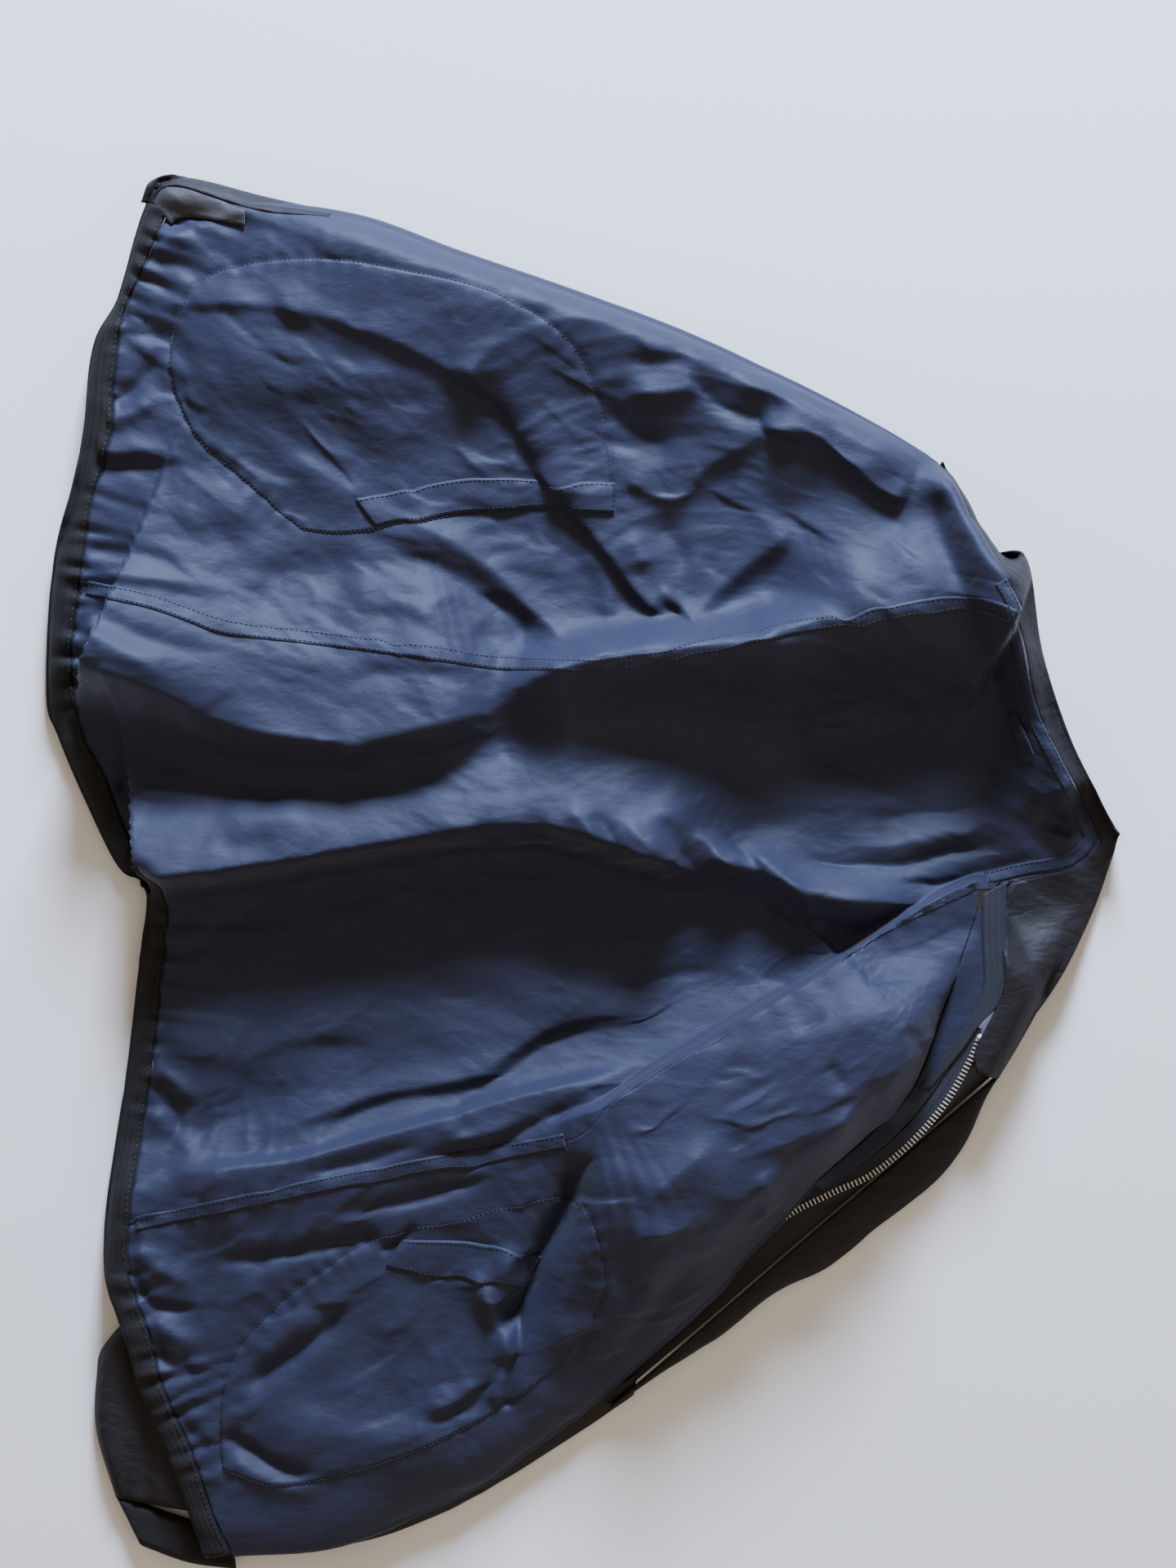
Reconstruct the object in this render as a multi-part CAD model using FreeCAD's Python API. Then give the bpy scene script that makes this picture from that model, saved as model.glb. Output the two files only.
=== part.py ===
import FreeCAD, Part
import math
import os

# A lined zip-front jacket, opened out and laid on its outside with the lining uppermost.
# Frame: +X from hem to neck, +Y across to the wearer's right front, +Z up from the surface it lies on.
# All lengths in millimetres.

V = FreeCAD.Vector

# ---- driving dimensions -------------------------------------------------
HALF_LENGTH = 325.0        # hem to collar tip, half
HALF_WIDTH = 430.0         # front edge to front edge as laid out, half
GRID_PITCH = 15.0          # spacing of the points that the lie of the cloth is worked out at
LINING_T = 1.0
WADDING_T = 5.0
SHELL_T = 1.5
TRIM_T = 0.8
PLY_GAP = 0.3              # air between plies
SEAM_GAP = 0.8             # air between neighbouring panels at a seam
STACK = LINING_T + WADDING_T + SHELL_T + 2 * PLY_GAP
SLEEVE_T = 14.0            # a sleeve pressed flat under the body
SLEEVE_ROUND = 4.0
SLEEVE_CORE_IN = 4.0       # how far the sleeve's lining keeps in from the shell's outside
CUFF_T = 12.0
HEM_ELASTIC_T = 2.5
BAND_T = 1.2
SEAM_TAPE_W = 9.0
NECK_TAPE_W = 8.0

TOOTH_PITCH = 2.5
TOOTH_LEN = 2.8
TOOTH_W = 1.3
TOOTH_H = 2.8
TAPE_W = 11.0
TAPE_T = 1.0
TAPE_DROP = 0.4            # how far the left tape lies below the lining's face
CHAIN_Z = 6.5              # mid-plane of the right-hand chain, tucked under the rolled edge
LEFT_TAPE_NEAR, LEFT_TAPE_FAR = 0.6, 9.5    # the left tape's edges, from the middle of its teeth
FIRST_TOOTH, TEETH_SHORT = 6, 2     # chain places without teeth at the hem and at the neck
PIN_PLACE = 2              # chain place of the insertion pin's middle
STOP_SIZE = (4.2, 3.4, 3.0)
PIN_SIZE = (13.0, 2.2, 2.4)
PLACKET_GAP = 1.0          # air between the chain and the placket

RIGHT_ZIP_START = (-238, 404)
RIGHT_ZIP_END = (205, 243)
RIGHT_TAPE_IN = 3.4        # from the closure's centre line to the right tape
RIGHT_TOOTH_IN = 4.4       # from the centre line to a right tooth's far end
RIGHT_FIRST_TOOTH = 12.0
RIGHT_TEETH_SHORT = 30.0   # length of the run that carries no teeth
RIGHT_STOP_SIZE = (4.0, 3.4, 3.0)
RIGHT_STOP_AT = (-12.0, -4.7)       # back from the run's end, and across it
BOX_SIZE = (8.0, 9.0, 5.0)
BOX_AT = (-0.5, -4.6)

SLIDER_L = 14.0
SLIDER_W = 12.0
SLIDER_START = 8.0         # along the zip, where the slider rests against the retainer box
SLIDER_STOP_GAP = 0.5
PLATE_T = 1.2
CHANNEL_H = 3.8
TAPE_SLOT_H = 1.8
POST_R = 1.15              # the diamond that parts the two chains, and how far it is from the far end
POST_BACK = 2.6
POST_SINK = 0.5            # how far the post goes into each plate
LIP_W = 0.9
EAR_SIZE = (3.0, 1.0, 2.6)
EAR_AT = 5.0
EAR_GAP = 3.2              # between the two ears
PIVOT_DROP = 1.5           # the pivot's place on an ear, from its corner
PIVOT_HOLE_R = 0.55
HOLE_SPARE = 0.2           # how far the hole's cutter stands out of an ear

TAB_L = 26.0
TAB_W = 5.0
TAB_T = 0.9
TAB_BARREL_R, TAB_BARREL_L = 0.75, 2.7
TAB_PIN_R, TAB_PIN_L = 0.48, 5.0
TAB_NECK_L, TAB_NECK_W = 5.0, 2.4
TAB_NECK_LAP = 0.5
TAB_HOLE_SIZE = (8.0, 2.4, 2.0)
TAB_HOLE_BACK = 11.5       # from the tab's end to the far side of its hole

FLAP_T = 1.6
FLAP_SLOPE = 15.0          # degrees that the storm flap falls away from its seam
FLAP_HINGE_Z = 9.0
FLAP_ROOM_R = 3.0          # the placket keeps this far from the flap's fold line

LEVEL_BACK = 12.0          # lie of the lining over the back, which rests on the surface
LEVEL_FRONT = 24.0         # lie of the lining over the sleeves
LEVEL_EDGE = 10.0          # lie of the cloth at a free edge on the surface
LEVEL_ROLL = 21.0          # lie of the rolled right front edge
EDGE_ROLL = 26.0           # how far in from the outline the cloth rounds over
ROLL_FROM, ROLL_OVER = 190, 40      # Y where the rolled edge starts to rise, and the length it rises over
CUFF_MIDDLE, CUFF_SPREAD = (-300, 277), (40, 70)    # where the right cuff lifts the edge
LEFT_CORNER, CORNER_BLEND = (-90, -200), 40         # inside this corner the left cuff lifts the edge
BACK_MIDDLE, BACK_HALF, BACK_BLEND = -10, 95, 50    # the back's strip in Y, between the two sleeves
RIDGE_FADE = 0.12          # share of a ridge's length that it rises over at each end
RIDGE_END = 0.25           # share of its height that it keeps at its ends

# ---- room for cutting plies ----------------------------------------------
PRISM_LOW, PRISM_TALL = -20, 160
BEYOND_X = 345             # past the layout's ends
BEYOND_Y = HALF_WIDTH + 40

# ---- the pattern, as laid out -------------------------------------------
OUTLINE = [
    (-256, 427.5), (-236, 430), (-191, 419), (-131, 404), (-76, 384), (-6, 360), (59, 336), (119, 309),
    (169, 284), (219, 255), (251, 201), (269, 196), (278, 141), (294, 91), (311, 56), (325, 31), (320, 11),
    (309, -18), (289, -53), (266, -98), (249, -128), (226, -178), (204, -198), (174, -223), (134, -253),
    (94, -273), (59, -293), (14, -323), (-31, -351), (-76, -383), (-116, -411), (-136, -430), (-241, -421),
    (-281, -398), (-296, -318), (-291, -263), (-278, -253), (-288, -203), (-273, -83), (-263, -3),
    (-281, 11), (-301, 51), (-318, 91), (-325, 116), (-321, 191), (-306, 241), (-296, 326), (-281, 356),
]
RIGHT_EDGE = [(-250, 409), (-191, 411), (-131, 402), (-76, 382), (-6, 358), (59, 334), (119, 307), (169, 282),
              (217, 255)]
HEM_SEAM = [(-250, 409), (-261, 381), (-277, 344), (-284, 269), (-303, 181), (-307, 116), (-291, 69),
            (-263, 11), (-253, -1), (-256, -48), (-261, -108), (-274, -203), (-273, -238), (-261, -271),
            (-236, -341), (-212, -396)]
HEM_EDGE = [(-256, 427.5), (-268, 401), (-281, 356), (-296, 326), (-300, 280), (-306, 241), (-321, 191),
            (-325, 116), (-318, 91), (-301, 51), (-281, 11), (-263, -3), (-273, -83), (-288, -203),
            (-287, -240), (-276, -275), (-252, -345), (-227, -404)]
NECKLINE = [(217, 255), (237, 210), (251, 181), (263, 156), (273, 111), (289, 76), (309, 41), (317, 25),
            (300, 11), (270, 7), (242, -2)]
LEFT_EDGE = [(-212, -396), (-159, -382), (-110, -367), (-67, -346), (-33, -329), (6, -295.5), (61, -244.5),
             (110, -196.5), (144, -175.5), (172, -151), (199, -122), (212, -90), (224, -55), (242, -2)]
RIGHT_SEAM = [(-345, 184), (-302, 180), (-256, 171), (-211, 156), (-156, 149), (-76, 139), (4, 129), (69, 140),
              (144, 156), (224, 169), (262, 155), (345, 120)]
LEFT_SEAM = [(-345, -218), (-276, -208), (-206, -190), (-131, -174), (-56, -161), (-6, -151), (24, -131),
             (94, -88), (154, -53), (209, -18), (243, 2), (345, 40)]
LEFT_CHAIN = [(-200, -405), (-156, -394), (-106, -379), (-62, -358), (-26, -340), (14, -305), (69, -254),
              (118, -206), (151, -187), (175, -175), (200, -154), (220, -130), (235, -103), (241.5, -86)]
COLLAR_EDGE = [(219, 257), (240, 214), (251, 201), (269, 196), (278, 141), (294, 91), (311, 56), (325, 31),
               (320, 11), (309, -18), (289, -53), (266, -98), (258, -108)]
FLAP_EDGE = [(258, -112), (249, -128), (226, -178), (204, -198), (174, -223), (134, -253), (94, -273),
             (59, -293), (20, -318)]
FLAP_HINGE = [(255, -114), (17, -318)]
# the placket's edge, which stays clear of the flap as it folds over
PLACKET_EDGE = [(254.4, -113.4), (195.4, -163.9), (118.3, -227.7), (14.6, -315.6)]

# ---- the lie of the cloth: ridges as (points, height, width to the left, width to the right) ----------
RIDGES = [
    ([(-215, 388), (-76, 366), (59, 320), (169, 266), (212, 240)], 20, 24, 45),
    ([(-290, 122), (-206, 101), (-130, 96), (-68, 107), (-8, 126), (69, 142), (224, 169)], 42, 55, 24),
    ([(-262, 10), (-206, 16), (-116, 29), (-44, 43), (44, 20), (140, -8), (240, -4)], 42, 52, 20),
    ([(250, -1), (154, -53), (94, -90), (40, -124), (6, -142)], 34, 18, 100),
    ([(-200, -168), (-104, -152), (-20, -130), (40, -105)], 12, 18, 70),
    ([(-220, 352), (-149, 340), (-60, 300), (4, 241), (55, 165)], 12, 34, 20),
    ([(222, 262), (244, 190), (266, 115), (290, 65)], 26, 24, 26),
]
# hollows as (centre, radii, depth)
HOLLOWS = [
    ((170, 90), (60, 45), 6),
]


def smoothstep(t):
    t = min(max(t, 0.0), 1.0)
    return t * t * (3 - 2 * t)


def nearest_on(points, x, y):
    """Distance to a run of points, how far along it that is (0 to 1), and the side: +1 is left of the run."""
    best = (1e9, 0.0, 1.0)
    spans = [math.dist(a, b) for a, b in zip(points, points[1:])]
    total = sum(spans)
    walked = 0.0
    for (ax, ay), (bx, by), span in zip(points, points[1:], spans):
        t = ((x - ax) * (bx - ax) + (y - ay) * (by - ay)) / span ** 2
        t = min(max(t, 0.0), 1.0)
        gap = math.dist((x, y), (ax + t * (bx - ax), ay + t * (by - ay)))
        if gap < best[0]:
            side = (bx - ax) * (y - ay) - (by - ay) * (x - ax)
            best = (gap, (walked + t * span) / total, 1.0 if side >= 0 else -1.0)
        walked += span
    return best


def inside(points, x, y):
    crossings = 0
    for (ax, ay), (bx, by) in zip(points, points[1:] + points[:1]):
        if (ay > y) != (by > y) and x < ax + (y - ay) / (by - ay) * (bx - ax):
            crossings += 1
    return crossings % 2 == 1


def edge_level(x, y):
    """Height of the cloth at its outline: high where it rolls over the right zip or lies on a sleeve."""
    level = LEVEL_EDGE + (LEVEL_ROLL - LEVEL_EDGE) * smoothstep((y - ROLL_FROM) / ROLL_OVER)
    (cx, cy), (wide, tall) = CUFF_MIDDLE, CUFF_SPREAD
    cuff_right = math.exp(-((x - cx) / wide) ** 2 - ((y - cy) / tall) ** 2)
    corner_x, corner_y = LEFT_CORNER
    cuff_left = smoothstep((corner_x - x) / CORNER_BLEND) * smoothstep((corner_y - y) / CORNER_BLEND)
    return max(level, LEVEL_EDGE + (LEVEL_FRONT - LEVEL_EDGE) * max(cuff_right, cuff_left))


def height(x, y):
    """Height of the lining's face above the surface."""
    on_sleeve = smoothstep((abs(y - BACK_MIDDLE) - BACK_HALF) / BACK_BLEND)
    level = LEVEL_BACK + (LEVEL_FRONT - LEVEL_BACK) * on_sleeve
    for points, rise, left, right in RIDGES:
        gap, along, side = nearest_on(points, x, y)
        fade = smoothstep(along / RIDGE_FADE) * smoothstep((1 - along) / RIDGE_FADE)
        width = left if side > 0 else right
        level += rise * (RIDGE_END + (1 - RIDGE_END) * fade) * math.exp(-(gap / width) ** 2)
    for (cx, cy), (rx, ry), depth in HOLLOWS:
        level -= depth * math.exp(-((x - cx) / rx) ** 2 - ((y - cy) / ry) ** 2)
    low = edge_level(x, y)
    if not inside(OUTLINE, x, y):
        return low
    depth_in = nearest_on(OUTLINE + OUTLINE[:1], x, y)[0]
    rounding = math.sqrt(1 - (1 - min(depth_in / EDGE_ROLL, 1.0)) ** 2)
    return low + max(level - low, 0.0) * rounding


def lay_of_cloth():
    """The lining's face as one surface over the whole layout."""
    columns = int(2 * (HALF_LENGTH + GRID_PITCH) / GRID_PITCH)
    rows = int(2 * (HALF_WIDTH + GRID_PITCH) / GRID_PITCH)
    points = []
    for i in range(columns + 1):
        x = -HALF_LENGTH - GRID_PITCH + i * GRID_PITCH
        line = []
        for j in range(rows + 1):
            y = -HALF_WIDTH - GRID_PITCH + j * GRID_PITCH
            line.append(V(x, y, height(x, y)))
        points.append(line)
    surface = Part.BSplineSurface()
    (u_mults, u_knots), (v_mults, v_knots) = clamped_knots(columns + 1), clamped_knots(rows + 1)
    surface.buildFromPolesMultsKnots(points, u_mults, v_mults, u_knots, v_knots, False, False, 3, 3)
    return surface.toShape()


def clamped_knots(count):
    """Multiplicities and knots of an even cubic spline with this many poles, which never overshoots them."""
    inner = count - 4
    return [4] + [1] * inner + [4], [float(k) for k in range(inner + 2)]


FACE = lay_of_cloth()
bounds = FreeCAD.BoundBox()


# ---- helpers ------------------------------------------------------------
def spline(points):
    curve = Part.BSplineCurve()
    curve.interpolate([V(x, y, 0) for x, y in points])
    return curve.toShape()


def region(*runs):
    """Flat face bounded by runs of points: each is a smooth curve, and straight lines join their ends."""
    edges = []
    for k, run in enumerate(runs):
        edges.append(spline(run) if len(run) > 2 else Part.makeLine(V(*run[0], 0), V(*run[-1], 0)))
        after = runs[(k + 1) % len(runs)][0]
        if math.dist(run[-1], after) > 1e-6:
            edges.append(Part.makeLine(V(*run[-1], 0), V(*after, 0)))
    return Part.Face(Part.Wire(edges))


def ply(face, top, thick):
    """Cloth of one thickness over a region, its upper side `top` above the lining's face."""
    slab = FACE.translated(V(0, 0, top)).extrude(V(0, 0, -thick))
    prism = face.translated(V(0, 0, PRISM_LOW)).extrude(V(0, 0, PRISM_TALL))
    cloth = slab.common(prism)
    solids = cloth.Solids
    return solids[0] if len(solids) == 1 else Part.makeCompound(solids)


def moved(points, dx, dy):
    return [(x + dx, y + dy) for x, y in points]


def offset_run(points, distance):
    """The run moved sideways: positive is to the left of its direction."""
    out = []
    for k, (x, y) in enumerate(points):
        ax, ay = points[max(k - 1, 0)]
        bx, by = points[min(k + 1, len(points) - 1)]
        length = math.hypot(bx - ax, by - ay)
        out.append((x - (by - ay) / length * distance, y + (bx - ax) / length * distance))
    return out


def strip(points, left, right):
    """Flat band along a run, `left` and `right` being its edges' distances to the run's left."""
    return region(offset_run(points, left), offset_run(points, right)[::-1])


def save(name, shape):
    shape.exportStep(os.path.join("parts", name + ".step"))
    box = shape.BoundBox
    bounds.add(box)
    print(f"{name:26s} solids {len(shape.Solids):3d} volume {shape.Volume:10.1f} valid {shape.isValid()}"
          f" z {box.ZMin:6.2f}..{box.ZMax:6.2f}")


# ---- body: lining, wadding and shell ------------------------------------
def body_panels():
    half = SEAM_GAP / 2
    body = region(RIGHT_EDGE, NECKLINE, LEFT_EDGE[::-1], HEM_SEAM[::-1])
    zones = {
        "right_front": region(moved(RIGHT_SEAM, 0, half), [(BEYOND_X, BEYOND_Y), (-BEYOND_X, BEYOND_Y)]),
        "back": region(moved(RIGHT_SEAM, 0, -half), moved(LEFT_SEAM, 0, half)[::-1]),
        "left_front": region(moved(LEFT_SEAM, 0, -half), [(BEYOND_X, -BEYOND_Y), (-BEYOND_X, -BEYOND_Y)]),
    }
    for panel, zone in zones.items():
        face = body.common(zone).Faces[0]
        save(f"{panel}_lining", ply(face, 0, LINING_T))
        save(f"{panel}_wadding", ply(face, -LINING_T - PLY_GAP, WADDING_T))
        save(f"{panel}_shell", ply(face, -STACK + SHELL_T, SHELL_T))


def seam_tapes():
    save("right_side_seam_tape", ply(strip(RIGHT_SEAM[2:10], SEAM_TAPE_W / 2, -SEAM_TAPE_W / 2),
                                     PLY_GAP + TRIM_T, TRIM_T))
    save("left_side_seam_tape", ply(strip(LEFT_SEAM[2:10], SEAM_TAPE_W / 2, -SEAM_TAPE_W / 2),
                                    PLY_GAP + TRIM_T, TRIM_T))


def hem_band():
    face = region(offset_run(HEM_SEAM, -SEAM_GAP), HEM_EDGE[::-1])
    save("hem_band_facing", ply(face, 0, BAND_T))
    save("hem_elastic", ply(face, -BAND_T - PLY_GAP, HEM_ELASTIC_T))
    save("hem_band_shell", ply(face, -BAND_T - HEM_ELASTIC_T - 2 * PLY_GAP, BAND_T))


# ---- pockets ------------------------------------------------------------
RIGHT_BAG = [(20, 226), (17, 262), (11, 292), (-1, 319), (-26, 341), (-61, 356), (-106, 366), (-156, 374),
             (-201, 372), (-226, 362), (-241, 347), (-246, 322), (-243, 300), (-231, 272), (-206, 247),
             (-168, 214)]
LEFT_BAG = [(-6, -186), (4, -194), (11, -214), (14, -240), (6, -270), (-30, -306), (-80, -336), (-140, -362),
            (-196, -370), (-216, -348), (-216, -300), (-206, -279), (-181, -251), (-138, -220)]
RIGHT_MOUTH = [(-135, 234), (-104, 240), (-69, 246), (-34, 246), (20, 243), (20, 226), (-12, 229), (-58, 227),
               (-104, 221), (-124, 217)]
LEFT_MOUTH = [(-108, -213), (-61, -214), (-26, -221), (-22, -243), (-60, -238), (-100, -232), (-121, -230)]


def pockets():
    sides = {"right": (RIGHT_BAG, RIGHT_MOUTH, 5), "left": (LEFT_BAG, LEFT_MOUTH, 3)}
    for side, (bag, mouth, corner) in sides.items():
        save(f"{side}_pocket_bag", ply(region(bag), PLY_GAP + TRIM_T, TRIM_T))
        face = region(mouth[:corner], mouth[corner:])
        save(f"{side}_pocket_mouth_facing", ply(face, 2 * PLY_GAP + 2 * TRIM_T, TRIM_T))


# ---- neck and collar ----------------------------------------------------
def neck_and_collar():
    tape_run = NECKLINE[2:9]
    save("neck_tape", ply(strip(tape_run, -0.5, -NECK_TAPE_W), PLY_GAP + TRIM_T, TRIM_T))
    front_run = [(250.5, -8), (252, -30), (253.5, -55), (252.5, -77)]
    save("collar_stand_tape", ply(strip(front_run, 3.5, -3.5), 0, TRIM_T))
    behind = [(225.5, 246), (239, 213), (253, 183), (265, 157), (275.5, 112), (291, 78), (311, 43), (319.5, 25)]
    across = [(319.5, 25), (301, 5), (272, 1), (262, -4)]
    down = [(262, -4), (259, -30), (260, -55), (259, -85), (257, -106)]
    face = region(COLLAR_EDGE, down[::-1], across[::-1], behind[::-1])
    save("collar_upper_leaf", ply(face, 0, SHELL_T))
    save("collar_interlining", ply(face, -SHELL_T - PLY_GAP, SHELL_T))
    save("collar_under_leaf", ply(face, -2 * SHELL_T - 2 * PLY_GAP, SHELL_T))
    loop_run = [(262, 100), (266, 88), (271, 76)]
    save("hanger_loop", ply(strip(loop_run, 4.5, 0.5), 2 * PLY_GAP + 2 * TRIM_T, TRIM_T))


# ---- left front edge: facing, zip and storm flap ------------------------
def left_front_edge():
    inner = [(153, -170), (173, -152), (200, -122.5), (213, -90.5), (225, -55.5), (243, -5)]
    outer = [(245.5, -6), (246, -30), (246.5, -55), (244, -72), (230, -86), (223.5, -97), (209.5, -122),
             (191.5, -144.5), (168, -164.5), (156, -171)]
    save("left_front_facing", ply(region(inner, outer), 0, LINING_T))
    save("left_zip_tape", ply(strip(LEFT_CHAIN, LEFT_TAPE_FAR, LEFT_TAPE_NEAR), -TAPE_DROP, TAPE_T))
    placket_in = offset_run(LEFT_CHAIN[5:13], -TOOTH_LEN / 2 - PLACKET_GAP)
    placket = ply(region(placket_in, PLACKET_EDGE), -TAPE_DROP, SHELL_T)
    root, tip = (V(x, y, FLAP_HINGE_Z) for x, y in FLAP_HINGE)
    fold_room = Part.makeCylinder(FLAP_ROOM_R, (root - tip).Length, tip, root - tip)
    save("left_front_placket", placket.cut(fold_room))
    places = stations(LEFT_CHAIN, TOOTH_PITCH)
    teeth = [turned(tooth(), V(x, y, chain_level(x, y)), V(ax, ay, 0)) for x, y, ax, ay in places[FIRST_TOOTH:-TEETH_SHORT]]
    save("left_zip_teeth", Part.makeCompound(teeth))
    for name, size, (x, y, ax, ay) in (("left_top_stop", STOP_SIZE, places[-1]),
                                       ("insertion_pin", PIN_SIZE, places[PIN_PLACE])):
        save(name, turned(block(size), V(x, y, chain_level(x, y)), V(ax, ay, 0)))


def chain_level(x, y):
    """Height of the middle of the left tape."""
    return height(x, y) - TAPE_DROP - TAPE_T / 2


def stations(points, pitch):
    """Points every `pitch` along a smooth run, each with the direction there."""
    edge = spline(points)
    curve = edge.Curve
    out = []
    count = int(edge.Length / pitch)
    for k in range(count + 1):
        u = edge.getParameterByLength(k * pitch)
        p = curve.value(u)
        t = curve.tangent(u)[0]
        out.append((p.x, p.y, t.x, t.y))
    return out


def turned(shape, place, along):
    """A shape made along +X at the origin, turned about Z to run along a direction and moved there."""
    shape = shape.copy()
    shape.rotate(V(0, 0, 0), V(0, 0, 1), math.degrees(math.atan2(along.y, along.x)))
    shape.translate(place)
    return shape


def block(size):
    """A block centred on the origin."""
    return Part.makeBox(*size, V(*(-side / 2 for side in size)))


def tooth():
    """One element of the chain, a block across the edge of the tape, centred on the origin."""
    return block((TOOTH_W, TOOTH_LEN, TOOTH_H))


def storm_flap():
    """A double strip of shell that folds about its seam, just outside the chain."""
    root, tip = FLAP_HINGE
    flat = region([root, tip], FLAP_EDGE[::-1]).extrude(V(0, 0, FLAP_T))
    axis = V(root[0] - tip[0], root[1] - tip[1], 0)
    axis.normalize()
    flat.rotate(V(*root, 0), axis, FLAP_SLOPE)
    save("storm_flap", flat.translated(V(0, 0, FLAP_HINGE_Z)))
    print("flap hinge at", root, FLAP_HINGE_Z, "axis", [round(-v, 6) for v in axis])


# ---- right zip, tucked under the rolled edge ----------------------------
def zip_frame():
    ax, ay = RIGHT_ZIP_START
    bx, by = RIGHT_ZIP_END
    along = V(bx - ax, by - ay, 0)
    length = along.Length
    along.normalize()
    return V(ax, ay, CHAIN_Z), along, length


def right_zip():
    start, along, length = zip_frame()
    # teeth point outwards, to the left of the run; the closure's centre line is the run itself
    tape = Part.makeBox(length, TAPE_W, TAPE_T, V(0, -TAPE_W - RIGHT_TAPE_IN, -TAPE_T / 2))
    save("right_zip_tape", turned(tape, start, along))
    count = int((length - RIGHT_TEETH_SHORT) / TOOTH_PITCH)
    teeth = []
    for k in range(count):
        corner = V(RIGHT_FIRST_TOOTH + k * TOOTH_PITCH, -RIGHT_TOOTH_IN, -TOOTH_H / 2)
        teeth.append(turned(Part.makeBox(TOOTH_W, TOOTH_LEN, TOOTH_H, corner), start, along))
    save("right_zip_teeth", Part.makeCompound(teeth))
    box = Part.makeBox(*BOX_SIZE, V(*BOX_AT, -BOX_SIZE[2] / 2))
    save("retainer_box", turned(box, start, along))
    back, across = RIGHT_STOP_AT
    stop = Part.makeBox(*RIGHT_STOP_SIZE, V(length + back, across, -RIGHT_STOP_SIZE[2] / 2))
    save("right_top_stop", turned(stop, start, along))


def zip_slider():
    start, along, length = zip_frame()
    z0 = CHANNEL_H / 2
    body = Part.makeBox(SLIDER_L, SLIDER_W, PLATE_T, V(SLIDER_START, -SLIDER_W / 2, z0))
    body = body.fuse(Part.makeBox(SLIDER_L, SLIDER_W, PLATE_T, V(SLIDER_START, -SLIDER_W / 2, -z0 - PLATE_T)))
    post_x = SLIDER_START + SLIDER_L - POST_BACK
    body = body.fuse(Part.makeCylinder(POST_R, CHANNEL_H + 2 * POST_SINK, V(post_x, 0, -z0 - POST_SINK)))
    lip = (CHANNEL_H - TAPE_SLOT_H) / 2
    for y in (-SLIDER_W / 2, SLIDER_W / 2 - LIP_W):
        body = body.fuse(Part.makeBox(SLIDER_L, LIP_W, lip, V(SLIDER_START, y, z0 - lip)))
        body = body.fuse(Part.makeBox(SLIDER_L, LIP_W, lip, V(SLIDER_START, y, -z0)))
    ear_x = SLIDER_START + EAR_AT
    pivot = V(ear_x + PIVOT_DROP, 0, -z0 - PLATE_T - PIVOT_DROP)
    _, ear_w, ear_h = EAR_SIZE
    for y in (-EAR_GAP / 2 - ear_w, EAR_GAP / 2):
        ear = Part.makeBox(*EAR_SIZE, V(ear_x, y, -z0 - PLATE_T - ear_h))
        hole = Part.makeCylinder(PIVOT_HOLE_R, ear_w + 2 * HOLE_SPARE, V(pivot.x, y - HOLE_SPARE, pivot.z), V(0, 1, 0))
        body = body.fuse(ear).cut(hole)
    save("zip_slider", turned(body.removeSplitter(), start, along))
    save("zip_pull_tab", turned(pull_tab(pivot), start, along))
    place = turned(Part.Vertex(pivot), start, along).Point
    travel = length + RIGHT_STOP_AT[0] - SLIDER_START - SLIDER_L - SLIDER_STOP_GAP
    print("slide axis", [round(v, 6) for v in along], "travel", round(travel, 2))
    print("tab pivot", [round(v, 4) for v in place], "axis", [round(-along.y, 6), round(along.x, 6), 0])


def pull_tab(pivot):
    """The tab, along +X from its pivot between the slider's ears."""
    barrel, pin = (Part.makeCylinder(radius, long, V(pivot.x, -long / 2, pivot.z), V(0, 1, 0))
                   for radius, long in ((TAB_BARREL_R, TAB_BARREL_L), (TAB_PIN_R, TAB_PIN_L)))
    neck = Part.makeBox(TAB_NECK_L, TAB_NECK_W, TAB_T, V(pivot.x, -TAB_NECK_W / 2, pivot.z - TAB_T / 2))
    blade = Part.makeBox(TAB_L - TAB_NECK_L, TAB_W, TAB_T,
                         V(pivot.x + TAB_NECK_L - TAB_NECK_LAP, -TAB_W / 2, pivot.z - TAB_T / 2))
    _, hole_w, hole_h = TAB_HOLE_SIZE
    hole = Part.makeBox(*TAB_HOLE_SIZE, V(pivot.x + TAB_L - TAB_HOLE_BACK, -hole_w / 2, pivot.z - hole_h / 2))
    return barrel.fuse([pin, neck, blade]).cut(hole).removeSplitter()


# ---- sleeves, folded in under the fronts --------------------------------
RIGHT_SLEEVE = [[(160, 226), (60, 270), (-40, 305), (-130, 327), (-252, 330)],
                [(-254, 224), (-130, 198), (-20, 170), (70, 146), (150, 136)]]
RIGHT_CUFF = [[(-255, 328), (-256, 226)], [(-292, 234), (-303, 277), (-292, 322)]]
LEFT_SLEEVE = [[(145, -157), (60, -161), (-60, -188), (-170, -212), (-256, -250), (-293, -288), (-290, -371)],
               [(-132, -396), (-92, -345), (-20, -292), (60, -235), (140, -172)]]
LEFT_CUFF = [[(-290, -373), (-132, -398)], [(-134, -429), (-190, -428), (-243, -420), (-283, -400)]]


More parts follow.
